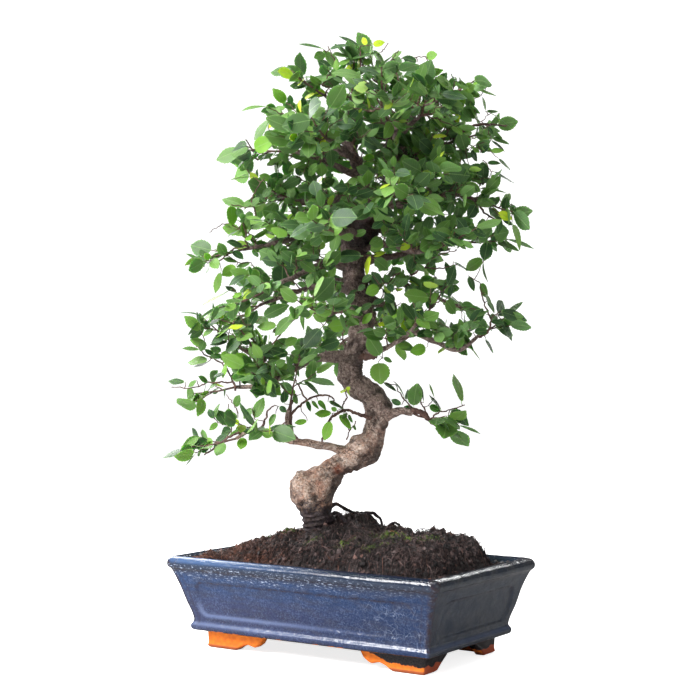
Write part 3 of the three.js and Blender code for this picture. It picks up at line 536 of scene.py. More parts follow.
def soil_height(x, y):
    """The level at the wall, the mound 1 - r^k with r on a fourth-power ellipse, the hump's exp(-r^2.6), two
    long waves, and chance at three sizes of crumb."""
    far, wide = np.abs(x) / MOUND_HALF_LENGTH, np.abs(y) / MOUND_HALF_WIDTH
    spread = (far ** MOUND_SQUARENESS + wide ** MOUND_SQUARENESS) ** (1 / MOUND_SQUARENESS)
    low, high = MOUND_STEEPNESS
    steepness = low + (high - low) * ((x / MOUND_HALF_LENGTH + 1) / 2) ** 2
    mound = MOUND_HEIGHT * np.maximum(0, 1 - spread ** steepness)
    hump_x, hump_y = planted([*HUMP_PLACE, 0])[:2]
    hump = HUMP_HEIGHT * np.exp(-(np.hypot(x - hump_x, y - hump_y) / HUMP_RADIUS) ** HUMP_STEEPNESS)
    waves = 1.3 * (np.sin(x / 6.1 + y / 9.7) + np.sin(y / 5.3 - x / 11.9))
    flat = np.stack([x, y, 0 * x], axis=-1).reshape(-1, 3)
    crumb = 1.7 * grain(flat, 6, 3) + 1.4 * grain(flat, 3, 4) + 1.0 * grain(flat, 1.6, 5)
    edge = 3.8 * np.maximum(eased(y, 20, 66) * eased(x, 60, 0), eased(x, -86, -118))
    return SOIL_LEVEL + edge + mound + hump + waves + crumb.reshape(x.shape)


def soil_heap():
    """The heightfield over a rectangle, its rim carried down to a flat bottom."""
    u, v = np.meshgrid(np.linspace(-1, 1, SOIL_COLUMNS), np.linspace(-1, 1, SOIL_ROWS), indexing="ij")
    x, y = u * SOIL_HALF_LENGTH, v * SOIL_HALF_WIDTH
    top = np.stack([x, y, soil_height(x, y)], axis=-1).reshape(-1, 3)
    number = np.arange(SOIL_COLUMNS * SOIL_ROWS).reshape(SOIL_COLUMNS, SOIL_ROWS)
    quads = np.stack([number[:-1, :-1], number[1:, :-1], number[1:, 1:], number[:-1, 1:]],
                     axis=-1).reshape(-1, 4)
    rim = np.concatenate([number[:-1, 0], number[-1, :-1], number[:0:-1, -1], number[0, :0:-1]])
    below = top[rim] * (SOIL_TAPER, SOIL_TAPER, 0) + (0, 0, SOIL_BOTTOM)
    under = len(top) + np.arange(len(rim))
    skirt = np.stack([rim, under, np.roll(under, -1), np.roll(rim, -1)], axis=1)
    points = np.vstack([top, below])
    tone = 0.1 + 0.1 * grain(points, 3, 8)
    return points, [quads, skirt, under[::-1][None]], 0, {"tone": tone, "warm": warmth(points)}


def warmth(points):
    """How orange the crumb is: patches of fresh bark, mostly at the left end, from 0 to 1."""
    left = eased(points[:, 0], 22, -100)
    return np.clip(left * (0.7 + 0.5 * grain(points, 9, 11)) + 0.2 * grain(points, 16, 12) - 0.1, 0, 1)


def strands(lines, radii, sides):
    """Closed tubes along many lines at once: a ring round each point, square to the slope there, between the
    line's least axis and its cross product with the slope."""
    count, rings = lines.shape[:2]
    slope = np.gradient(lines, axis=1)
    slope /= np.linalg.norm(slope, axis=2, keepdims=True)
    least = np.eye(3)[np.argmin(np.abs(slope.mean(axis=1)), axis=1)][:, None]
    across = np.cross(slope, least)
    across /= np.linalg.norm(across, axis=2, keepdims=True)
    beyond = np.cross(slope, across)
    angle = 2 * np.pi * np.arange(sides) / sides
    ring = np.cos(angle)[:, None] * across[:, :, None] + np.sin(angle)[:, None] * beyond[:, :, None]
    points = (lines[:, :, None] + radii[:, :, None, None] * ring).reshape(-1, 3)
    first = (np.arange(count) * rings * sides)[:, None, None]
    quads = (tube_faces(rings, sides)[0][None] + first).reshape(-1, 4)
    start = first[:, :, 0] + np.arange(sides)[::-1]
    end = first[:, :, 0] + (rings - 1) * sides + np.arange(sides)
    return points, [quads, start, end]


def on_soil(rng, count, margin=3):
    """Chance places over the soil, as x and y, a third of them on its steep slope at the front and right."""
    x = rng.uniform(-SOIL_HALF_LENGTH + margin, SOIL_HALF_LENGTH - margin, count)
    y = rng.uniform(-SOIL_HALF_WIDTH + margin, SOIL_HALF_WIDTH - margin, count)
    slope, end = rng.random(count) < 0.33, rng.random(count) < 0.3
    y = np.where(slope & ~end, rng.uniform(-SOIL_HALF_WIDTH + margin, -50, count), y)
    x = np.where(slope & end, rng.uniform(98, SOIL_HALF_LENGTH - margin, count), x)
    return x, y


def turned_any_way(rng, count):
    """Chance rotation matrices: the three directions of random vectors made square to each other."""
    first = rng.normal(size=(count, 3))
    first /= np.linalg.norm(first, axis=1, keepdims=True)
    second = np.cross(first, rng.normal(size=(count, 3)))
    second /= np.linalg.norm(second, axis=1, keepdims=True)
    return np.stack([first, second, np.cross(first, second)], axis=1)


def bark_crumbs(rng, count):
    """Boxes with their corners moved by chance, 1 to 4 mm long, half sunk in the soil."""
    corner = np.array([[x, y, z] for x in (-1, 1) for y in (-1, 1) for z in (-1, 1)], float)
    box = np.array([[0, 1, 3, 2], [4, 6, 7, 5], [0, 4, 5, 1], [2, 3, 7, 6], [0, 2, 6, 4], [1, 5, 7, 3]])
    size = rng.uniform(0.5, 1.3, (count, 1, 1)) * rng.uniform(0.35, 1.1, (count, 1, 3))
    size *= np.where(rng.random((count, 1, 1)) < 0.14, 1.9, 1)
    shapes = (corner + rng.uniform(-0.4, 0.4, (count, 8, 3))) * size
    shapes = shapes @ turned_any_way(rng, count)
    x, y = on_soil(rng, count)
    middle = np.stack([x, y, soil_height(x, y) + 0.3], axis=1)
    points = (shapes + middle[:, None]).reshape(-1, 3)
    faces = (box[None] + 8 * np.arange(count)[:, None, None]).reshape(-1, 4)
    warm = np.clip(warmth(np.repeat(middle, 8, axis=0)) + np.repeat(rng.uniform(-0.4, 0.3, count), 8), 0, 1)
    tone = np.repeat(rng.random(count) ** 3 * 0.6, 8) + 0.3 * warm
    return points, [faces], 0, {"tone": tone, "warm": warm}


def soil_fibres(rng, count, lengths, thick, lift, pale):
    """Bent threads on the soil: each turns steadily as it goes, and arches over the crumbs by a sine."""
    share = np.linspace(0, 1, FIBRE_POINTS)
    x, y = on_soil(rng, count, FIBRE_MARGIN)
    length = rng.uniform(*lengths, (count, 1))
    heading = rng.uniform(0, 2 * np.pi, (count, 1)) + rng.normal(0, 1.3, (count, 1)) * share
    x = x[:, None] + np.cumsum(np.cos(heading) * length / (FIBRE_POINTS - 1), axis=1)
    y = y[:, None] + np.cumsum(np.sin(heading) * length / (FIBRE_POINTS - 1), axis=1)
    x = np.clip(x, -SOIL_HALF_LENGTH, SOIL_HALF_LENGTH)
    y = np.clip(y, -SOIL_HALF_WIDTH, SOIL_HALF_WIDTH)
    rise = rng.uniform(*lift, (count, 1)) * np.sin(np.pi * share) + rng.normal(0, 0.3, (count, FIBRE_POINTS))
    lines = np.stack([x, y, soil_height(x, y) + rise], axis=-1)
    radii = rng.uniform(*thick, (count, 1)) * (1 - 0.7 * np.abs(2 * share - 1) ** 2)
    points, faces = strands(lines, radii, FIBRE_SIDES)
    corners = FIBRE_POINTS * FIBRE_SIDES
    tone = np.repeat(0.02 + 0.98 * rng.random(count) ** 3.2 + 0.4 * pale, corners)
    warm = np.clip(warmth(points) * 0.85 + np.repeat(0.4 * rng.random(count) ** 8, corners) + pale, 0, 1)
    return points, faces, 0, {"tone": tone, "warm": warm}


crumb, tree, shader, place = blank("peat_and_bark", Roughness=0.65)
tone, warm = values_at_points(tree, "tone", "warm")
fine = cloudy(tree, place, 0.9)
patches = cloudy(tree, place, 6.0)
peat = coat(tree, (9, 6, 8), (184, 154, 150), tone)
peat = coat(tree, peat, (44, 32, 32), patches, 0.3)
bark_chip = coat(tree, (70, 30, 18), (232, 138, 84), tone)
peat = coat(tree, peat, bark_chip, warm, 0.85)
fill(tree, shader.inputs["Base Color"], coat(tree, peat, (22, 15, 17), fine, 0.5))
clods = raised(tree, shader, cloudy(tree, place, 3.2), 0.003, 0.95)
raised(tree, shader, fine, 0.0007, 0.8, clods)

rng = np.random.default_rng(7)
piece("soil_heap", [soil_heap()], [crumb], ["soil"])
piece("soil_crumbs", [bark_crumbs(rng, CRUMBS)], [crumb], smooth=False)
piece("soil_fibres", [soil_fibres(rng, FIBRES, (3, 9), (0.16, 0.36), (0.3, 2.4), 0),
                      soil_fibres(rng, LOOSE_FIBRES, (6, 13), (0.16, 0.32), (3, 7), 0),
                      soil_fibres(rng, STRAWS, (14, 30), (0.2, 0.32), (1, 3), 0.7)], [crumb])

# Moss and algae grow in patches at the foot of the trunk, as short pointed shoots in tufts.
# A patch is its place across and behind, its reach both ways and how many shoots it has.
MOSS_PATCHES = [
    [47, -52, 14, 7, 1300], [60, -48, 13, 8, 1300], [14, -72, 6, 4, 200], [-6, -57, 7, 4, 200],
    [-32, -31, 6, 4, 200], [26, -70, 9, 5, 320], [34, -34, 16, 8, 600], [20, 26, 26, 12, 700],
    [-52, 18, 14, 8, 300],
]


def moss_shoots(rng):
    """Three-sided spikes 1 to 3 mm high round each patch's middle, on a bell of chance, leaning outwards."""
    rows = [np.repeat([row], row[4], axis=0) for row in np.array(MOSS_PATCHES, float)]
    row = np.concatenate(rows)
    count = len(row)
    near = rng.normal(size=(count, 2)) * row[:, 2:4] * 0.5
    x, y = planted(np.column_stack([row[:, :2] + near, np.zeros(count)])).T[:2]
    foot = np.stack([x, y, soil_height(x, y) - 0.2], axis=1)
    tall = rng.uniform(0.8, 2.4, (count, 1))
    tip = foot + np.concatenate([rng.normal(0, 0.45, (count, 2)) * tall, tall], axis=1)
    angle = rng.uniform(0, 2 * np.pi, (count, 1)) + np.array([0, 2, 4]) * np.pi / 3
    base = np.stack([np.cos(angle), np.sin(angle), 0 * angle], axis=-1)
    base = base * rng.uniform(0.35, 0.7, (count, 1, 1)) + foot[:, None]
    points = np.concatenate([base, tip[:, None]], axis=1).reshape(-1, 3)
    faces = np.array([[0, 1, 3], [1, 2, 3], [2, 0, 3], [2, 1, 0]])[None] + 4 * np.arange(count)[:, None, None]
    return points, [faces.reshape(-1, 3)], 0, {"tone": np.repeat(rng.random(count), 4)}


moss, tree, shader, place = blank("moss", Roughness=0.7)
tone, = values_at_points(tree, "tone")
green = coat(tree, (58, 76, 28), (118, 140, 50), tone)
fill(tree, shader.inputs["Base Color"], coat(tree, green, (78, 102, 34), cloudy(tree, place, 8.0)))
piece("moss", [moss_shoots(rng)], [moss])


# The trunk is one S of wood, thick and swollen over a dark neck, with an old cut at its top. Its bark is grey
# brown, scaly and wrinkled where it bends. The branches and the roots that loop out of the soil grow from it.
TRUNK = [
    [-25, 2, 68, 6], [-27, 1, 84, 9.5], [-26.4, 0, 102, 11.7], [-29.8, -1, 118.5, 13.6],
    [-32.4, -2, 130, 17.8], [-32.3, -3, 135, 20.6], [-26.6, -4, 141.5, 16.4], [-17.3, -5, 150.5, 11.5],
    [-9.3, -5, 159, 9.4], [2.2, -4, 165.3, 11.6], [11.2, -3, 172.4, 13.4], [18.8, 0, 181.5, 9.6],
    [23.6, 2, 197.5, 9.4], [24.2, 4, 207.7, 12.4], [18.9, 6, 217.8, 10.1], [2.5, 6, 230.4, 10.6],
    [0.5, 4, 245, 9.8], [5, 1, 258, 9.4], [11, -2, 277, 10.8], [9.5, -3, 301, 9.2], [3.5, -2, 318, 9.2],
    [3, 0, 337, 9.6], [5, 1, 352, 14.5], [8, 1, 364, 17], [9, 1, 376, 13],
]
TRUNK_RINGS, TRUNK_SIDES, TRUNK_STEPS, SOFTENING = 464, 110, 27, 15
FOLD_LENGTH, NECK_FOLD_LENGTH, NECK_TOP, NECK_BOTTOM = 3.4, 4.6, 124, 112
LARGE_LUMP, SMALL_LUMP = 13, 5.5
CLOSED_END = (0.995, 0.97, 0.9, 0.7, 0.35)
# Burls and knuckles of the wood, each a place on it, its reach and how far it stands out.
BURLS = [
    [-46, -10, 146, 7, 1.2], [-24, -12, 159, 7, 2], [-35, -24, 140, 9, 1.6], [-20, -20, 134, 7, 1.8],
    [22, -6, 165, 8, 1.8], [4, -10, 155, 5, 1.4], [12, -14, 172, 7, 1.6], [33, -4, 207, 7, 1.6],
    [15, -6, 214, 5, 1.6], [18, -10, 195, 4, 1.2], [-52, -4, 128, 5, 1.2], [-34, -14, 155, 5, -1.8],
    [-8, -14, 150, 5, -1.4], [26, -6, 222, 5, 1.2], [-12, 4, 250, 6, 1.2], [14, -8, 262, 6, 1.2],
]
ROOTS = [
    [[-26, 0, 106], [-17, 6, 120], [-11.5, 8, 124], [-4, 8, 119.3], [3, 8, 116.2], [10, 8, 115.6],
     [17, 8, 114], [23, 8, 108.5], [26, 8, 98]],
    [[-26, 0, 86], [-2, 6, 96], [8, 9, 110], [14, 10, 116.8], [20, 10, 116], [26, 10, 110.5],
     [29, 10, 97]],
    [[-26, 0, 78], [18, 3, 86], [30, 7, 97], [34, 8, 106], [39, 8, 108.5], [44, 8, 104], [46, 8, 90]],
    [[-20, -2, 112], [-13, -5, 118], [-6, -8, 114], [2, -12, 108], [12, -14, 106], [24, -16, 99],
     [30, -18, 94]],
    [[-30, -8, 100], [-22, -16, 101], [-10, -22, 99], [4, -24, 100], [16, -28, 96], [24, -30, 90]],
]
ROOT_RADII = [[2, 1.2], [1.9, 1.3], [1.8, 1.1], [1.8, 1], [1.6, 0.9]]


def unit(vector):
    return vector / np.linalg.norm(vector, axis=-1, keepdims=True)


def softened(row):
    """Each value as the mean of those near it, weighted by a raised cosine."""
    weights = np.hanning(SOFTENING) / np.hanning(SOFTENING).sum()
    return np.convolve(np.pad(row, SOFTENING // 2, mode="edge"), weights, "valid")


def trunk_wood():
    """Rings round the trunk's curve, with its frame turned as little as possible from ring to ring. The
    radius swells by two winding waves as in the solid, by burls, by rounded lumps |n| with sharp creases
    between them and by folds on the inner side of bends, where it stays below 0.8 of the bend's radius."""
    share = np.linspace(0, 1, TRUNK_RINGS)
    line = curve_through(planted(np.array(TRUNK)[:, :3]), share)
    radius = softened(np.interp(share * (len(TRUNK) - 1), np.arange(len(TRUNK)), np.array(TRUNK)[:, 3]))
    step = np.linalg.norm(np.gradient(line, axis=0), axis=1, keepdims=True)
    slope = unit(np.gradient(line, axis=0))
    bend = np.gradient(slope, axis=0) / step
    bend = np.stack([softened(row) for row in bend.T], axis=1)
    across = np.empty_like(line)
    last = np.array([0.6, 0.8, 0])
    for i, along in enumerate(slope):
        last = unit(last - along * (last @ along))
        across[i] = last
    beyond = np.cross(slope, across)
    angle = 2 * np.pi * np.arange(TRUNK_SIDES) / TRUNK_SIDES
    out = np.cos(angle)[:, None] * across[:, None] + np.sin(angle)[:, None] * beyond[:, None]
    ring = share[:, None] * TRUNK_STEPS
    swell = 1 + 0.06 * np.sin(2 * angle + 1.3 * ring) + 0.045 * np.sin(3 * angle - 0.9 * ring)
    flat = (line[:, None] + out * (radius[:, None] * swell)[..., None]).reshape(-1, 3)
    shape = out.shape[:2]
    tight = np.einsum("ijk,ik->ij", out, bend)
    run = np.cumsum(step)[:, None]
    folds = np.sin(run * 2 * np.pi / FOLD_LENGTH + 2.4 * grain(flat, 8, 22).reshape(shape))
    folds = folds * np.clip(tight * 16, 0, 1) * 0.5
    neck = np.sin(run * 2 * np.pi / NECK_FOLD_LENGTH + grain(flat, 12, 25).reshape(shape))
    neck = eased(line[:, 2], NECK_TOP, NECK_BOTTOM)[:, None] * neck
    warped = flat + 2.5 * np.stack([grain(flat, 9, 26 + i) for i in range(3)], axis=1)
    large, middle = (np.abs(grain(warped, size, seed)).reshape(shape)
                     for size, seed in ((LARGE_LUMP, 20), (SMALL_LUMP, 21)))
    burls = sum(rise * np.exp(-(np.linalg.norm(flat - planted(at), axis=1) / reach) ** 2)
                for *at, reach, rise in BURLS).reshape(shape)
    rough = 0.7 * grain(warped, 2.4, 24).reshape(shape) + 1.0 * grain(warped, 6, 28).reshape(shape)
    relief = folds + 0.8 * neck + burls + 2.4 * (large - 0.3) + 0.7 * (middle - 0.3) + rough
    end = np.ones((TRUNK_RINGS, 1))
    end[-len(CLOSED_END):, 0] = CLOSED_END
    most = 0.8 / np.maximum(tight, 0.001)
    reach = radius[:, None] * swell + relief
    reach = reach * end / (1 + (reach / most) ** 6) ** (1 / 6)
    points = np.vstack([(line[:, None] + out * reach[..., None]).reshape(-1, 3), line[0], line[-1]])
    # The darkening kept at the points is painted shade in the creases between the lumps and in the grooves of
    # the folds and of the neck's rings, lighter on their ridges as a painted highlight, and painted shade on
    # the side away from the light.
    creases = 0.45 * eased(middle, 0.12, 0) + 0.55 * eased(large, 0.1, 0) - 0.9 * rough
    shaded = eased(out @ unit(planted([1, 0.1, -0.5])), -0.15, 0.8) * 0.86
    dark_bark_and_shade = np.clip(creases - 0.8 * folds - 0.5 * neck + shaded, 0, 1)
    return points, tube_faces(TRUNK_RINGS, TRUNK_SIDES), 0, {"dark_bark_and_shade": np.append(dark_bark_and_shade.ravel(), [0, 0])}


def grown_limb(route, radii, seed, steps=64, sides=10, flare=1.4, kink=0.5, dark=0.0):
    """A branch or root through these places, straying by chance over long and short ways, its radius falling
    evenly from foot to tip, flared where it leaves the wood and swollen by chance at its nodes."""
    share = np.linspace(0, 1, steps)
    line = curve_through(planted(route), share)
    stray = np.stack([grain(line, 13, seed + i) for i in (0, 1, 2)], axis=1)
    stray = 1.3 * stray + kink * np.stack([grain(line, 4.5, seed + i) for i in (6, 7, 8)], axis=1)
    line = line + stray * (np.sin(np.pi * share) ** 0.5)[:, None]
    run = np.concatenate([[0], np.cumsum(np.linalg.norm(np.diff(line, axis=0), axis=1))])
    radius = radii[0] + (radii[1] - radii[0]) * share
    radius = radius * (1 + 0.22 * grain(line, 6, seed + 3)) + radii[0] * flare * np.exp(-run / 7)
    points, faces = strands(line[None], radius[None], sides)
    points = points + 0.16 * grain(points, 2.2, seed + 4)[:, None] * (0.5, 0.5, 1)
    # On branches and roots the same darkening is dark bark by chance, and the roots are darker all over.
    dark_bark_and_shade = dark + np.clip(0.5 - grain(points, 3, seed + 5), 0, 1) * (0.5 - dark / 2)
    return points, faces, 0, {"dark_bark_and_shade": dark_bark_and_shade}


def away_from(tree, place, spot):
    """How far the surface is from this place on the tree, in metres."""
    middle = (planted(spot) / 1000).tolist()
    return add(tree, "ShaderNodeVectorMath", {0: place, 1: middle}, operation="DISTANCE").outputs["Value"]


bark, tree, shader, place = blank("elm_bark", Roughness=0.8)
height = times(tree, add(tree, "ShaderNodeSeparateXYZ", {"Vector": place}).outputs[2], 1000.0)
dark_bark_and_shade, = values_at_points(tree, "dark_bark_and_shade")
patches = cloudy(tree, place, 12.0)
fine = cloudy(tree, place, 1.4)
flakes = cloudy(tree, place, 2.4, Low=0.4, High=0.62, Fine=6.0)
upper = coat(tree, (176, 156, 146), (134, 114, 106), flakes)
lower = coat(tree, (240, 221, 207), (200, 168, 148), flakes)
lower = coat(tree, lower, (178, 128, 104), patches, 0.7)
wood_colour = coat(tree, lower, upper, between(tree, height, 168, 222))
wood_colour = coat(tree, wood_colour, (104, 72, 60), fine, 0.32)
pits = specked(tree, place, 1.5, 0.24, 0.36)
wood_colour = coat(tree, wood_colour, (58, 38, 34), pits, 0.7)
plates = add(tree, "ShaderNodeVectorMath", {0: strayed(tree, place, 260.0, 0.006), 1: (230.0, 230.0, 400.0)},
             operation="MULTIPLY").outputs[0]
cracks = times(tree, between(tree, cell_edges(tree, plates, 1.0), 0.1, 0.02), cloudy(tree, place, 9.0))
wood_colour = coat(tree, wood_colour, (56, 36, 32), cracks, 0.85)
pale = specked(tree, place, 1.4, 0.3, 0.3)
wood_colour = coat(tree, wood_colour, (236, 220, 206), pale, 0.6)
# Painted shade and dark bark, from the darkening kept at the points.
wood_colour = coat(tree, wood_colour, (46, 32, 30), dark_bark_and_shade, 0.8)
# Painted shade under the crown: the bark darkens from 268 to 335 mm up.
wood_colour = coat(tree, wood_colour, (62, 42, 42), between(tree, height, 268, 335, 0.0, 0.5))
old_cut = between(tree, away_from(tree, place, (8, -8, 362)), 0.024, 0.014, 0.0, 0.85)
wood_colour = coat(tree, wood_colour, coat(tree, (24, 13, 18), (66, 38, 34), patches), old_cut)
for spot, reach in (((-10, -15, 156), 6.0), ((-27, -20, 146), 4.0), ((-30, -22, 151), 3.0)):
    wound = between(tree, away_from(tree, place, spot), reach / 1000, reach / 3000)
    wound = times(tree, wound, cloudy(tree, place, 4.0, Low=0.25))
    wood_colour = coat(tree, wood_colour, (150, 70, 40), wound, 0.8)
dark_foot = between(tree, reckon(tree, "ADD", height, times(tree, flakes, 7.0)), 134, 122)
wood_colour = coat(tree, wood_colour, coat(tree, (52, 43, 54), (15, 11, 17), flakes), dark_foot, 0.9)
fill(tree, shader.inputs["Base Color"], wood_colour)
rough = raised(tree, shader, reckon(tree, "ADD", times(tree, flakes, 0.6), cracks), -0.0022, 0.9)
raised(tree, shader, fine, -0.0006, 0.7, rough)

piece("trunk_wood", [trunk_wood()], [bark], ["trunk"])
root_shells = [grown_limb(route, radii, 400 + 9 * i, flare=0, kink=1.6, dark=0.6)
               for i, (route, radii) in enumerate(zip(ROOTS, ROOT_RADII))]
piece("looping_roots", root_shells, [bark], ["trunk"])


# The branches leave the trunk and its two leaders in turn, right round the tree. Each is given by the places
# that it passes, its radius at either end and the leafy sprays at its tip.
BRANCHES = {
    "left_leader": (
        [[9, 2, 366], [18, 4, 391], [10, 5, 409], [3, 4, 431], [1, 2, 457], [2, 0, 478]],
        [5.5, 2], 2,
    ),
    "right_leader": (
        [[13, 0, 366], [28, -2, 388], [36, -3, 407], [34, -4, 429], [43, -2, 446], [56, 2, 464]],
        [6, 2.2], 2,
    ),
    "top_left": ([[1, 2, 453], [-10, -6, 466], [-22, -10, 476]], [2.2, 1.3], 1),
    "top_middle": ([[42, -2, 445], [36, 10, 466], [28, 18, 484]], [2.4, 1.3], 1),
    "top_right": ([[51, 1, 458], [62, -8, 466], [74, -14, 470]], [2.4, 1.3], 1),
    "top_back": ([[2, 3, 440], [6, 28, 456], [8, 50, 468]], [2.4, 1.3], 1),
    "top_front": ([[34, -4, 429], [32, -30, 448], [26, -52, 460]], [2.6, 1.3], 1),
    "left_crown": ([[3, 4, 434], [-18, 18, 446], [-38, 28, 456]], [2.4, 1.3], 1),
    "left_top": ([[10, 5, 409], [-12, -4, 416], [-34, -12, 424], [-52, -18, 428]], [2.8, 1.4], 2),
    "right_crown": ([[35, -3, 412], [56, 4, 422], [74, 10, 434], [90, 14, 440]], [3.2, 1.4], 2),
    "front_crown": ([[6, 4, 420], [-8, -26, 430], [-20, -51, 433]], [2.6, 1.4], 1),
    "back_crown": ([[35, -4, 424], [46, 26, 432], [54, 52, 434]], [2.8, 1.4], 1),
    "left_high": ([[7, 1, 370], [-24, 12, 384], [-54, 20, 390], [-76, 28, 400]], [3.2, 1.4], 2),
    "right_high": ([[24, -1, 384], [56, -10, 382], [88, -16, 390], [108, -14, 386]], [3.4, 1.4], 2),
    "back_high": ([[9, 3, 372], [-6, 34, 390], [-14, 60, 396], [-26, 80, 392]], [3.2, 1.4], 1),
    "front_high": ([[14, -1, 370], [28, -32, 384], [40, -62, 386]], [3, 1.4], 1),
    "right_back_high": ([[26, -1, 386], [50, 24, 396], [74, 46, 398]], [2.8, 1.4], 1),
    "left_arm": ([[4, 0, 358], [-28, -4, 362], [-56, -8, 352], [-92, -6, 344]], [4.4, 1.5], 2),
    "right_front": ([[6, 0, 346], [36, -20, 346], [56, -36, 339], [70, -46, 342]], [3, 1.4], 1),
    "right_middle": ([[8, 0, 334], [40, 4, 340], [74, 12, 350], [96, 10, 352]], [3.4, 1.4], 2),
    "back_right": ([[8, 0, 356], [24, 32, 364], [36, 54, 360], [44, 70, 353]], [3.2, 1.4], 1),
    "back_left": ([[4, -2, 322], [-14, 34, 334], [-32, 56, 340], [-48, 72, 336]], [3.2, 1.4], 1),
    "front_middle": ([[8, 0, 348], [2, -34, 358], [-8, -66, 352]], [3, 1.4], 1),
    "left_front": ([[3, -1, 334], [-26, -18, 330], [-50, -34, 318], [-72, -46, 306]], [3.4, 1.4], 1),
    "left_back": ([[5, -2, 308], [-22, 18, 314], [-52, 32, 308], [-80, 40, 298]], [3.2, 1.4], 2),
    "right_arm": ([[9, -2, 304], [40, 0, 290], [62, -4, 271], [92, -6, 259], [112, 0, 271]], [4.2, 1.5], 2),
    "right_back": ([[6, -2, 318], [36, 20, 318], [62, 36, 312], [84, 46, 302]], [3, 1.4], 1),
    "back_low": ([[10, -2, 274], [16, 32, 278], [8, 60, 274], [-6, 80, 266]], [3, 1.4], 1),
    "front_low": ([[10, -3, 288], [-2, -34, 292], [-18, -62, 286]], [2.8, 1.4], 1),
    "right_mid": ([[7, 1, 256], [26, -14, 258], [44, -28, 268], [58, -34, 282]], [2.6, 1.4], 1),
    "left_mid": ([[1, 4, 252], [-30, 0, 251], [-58, -8, 236], [-78, -12, 227], [-98, -4, 226]],
                 [4.4, 1.5], 2),
    "left_mid_upper": ([[-60, -8, 234], [-80, 2, 250], [-98, 8, 262]], [2.2, 1.3], 1),
    "low_right": ([[24, 0, 199], [36, -6, 203], [45, -9, 205], [53, -10, 204]], [4.1, 2.6], 1),
    "low_left": (
        [[0, -4, 167], [-14, -8, 174], [-50, -13, 181], [-75, -18, 188], [-86, -22, 189], [-96, -26, 183]],
        [4, 1.5], 2,
    ),
    "low_left_upper": ([[-49, -13, 181], [-54, -19, 196], [-52, -24, 207]], [2.2, 1.3], 1),
    "back_inner": ([[33, -3, 400], [31, 18, 408], [25, 34, 411]], [2.6, 1.3], 1),
    "right_front_high": ([[30, -2, 393], [46, -22, 397], [55, -38, 400]], [2.6, 1.3], 1),
    "left_back_high": ([[-4, 32, 389], [-18, 40, 391], [-29, 45, 390]], [2.2, 1.3], 1),
    "right_top_front": ([[44, -2, 447], [54, -16, 452], [60, -28, 456]], [2.2, 1.3], 1),
    "front_inner": ([[11, 0, 366], [17, -24, 371], [14, -44, 373]], [2.6, 1.3], 1),
    "left_inner": ([[4, 4, 426], [-12, 6, 429], [-25, 8, 430]], [2.2, 1.3], 1),
    "back_left_low": ([[5, -2, 312], [-4, 26, 319], [-13, 41, 321]], [2.6, 1.3], 1),
}

branch_shells = [grown_limb(route, radii, 20 * i) for i, (route, radii, _) in enumerate(BRANCHES.values())]
piece("branches", branch_shells, [bark], ["trunk"])


# The leaves are mostly 9 to 26 mm long, broad ovals with a short point and a saw edge, nearly flat, on
# stalks of a millimetre or two. Old ones are dark and firm, and new ones at the ends of shoots small and
# yellow-green.
LEAF_STATIONS = np.array([0.07, 0.24, 0.5, 0.76, 1])
LEAF_WIDTH, LEAF_TOOTH, LEAF_HALF_THICKNESS, LEAF_STALK = 0.29, 0.023, 0.009, 0.014
LEAF_VALUES = ("along", "beside", "under", "tint", "young")
# Each form's fold, droop, cup, wave, width and lean.
LEAF_FORMS = [
    [0.10, 0.10, 0.10, 0.03, 1.00, 0.00], [0.04, 0.16, 0.25, 0.06, 1.08, 0.04],
    [0.16, 0.03, 0.05, 0.04, 0.88, -0.05], [0.06, 0.22, -0.15, 0.07, 1.14, 0.06],
    [0.12, -0.06, 0.20, 0.05, 0.96, -0.03], [0.02, 0.12, 0.35, 0.09, 1.04, 0.02],
    [0.08, 0.30, 0.10, 0.05, 0.84, 0.08], [0.05, 0.02, -0.20, 0.08, 1.10, -0.06],
]


def leaf_half_width(at, width):
    """W sin(πt^0.9)^p, where p grows from 0.52 to 0.92 as t runs to the leaf's point."""
    run = (at - LEAF_STATIONS[0]) / (1 - LEAF_STATIONS[0])
    return LEAF_WIDTH * width * np.sin(np.pi * run ** 0.9) ** (0.52 + 0.4 * eased(run, 0.55, 1))


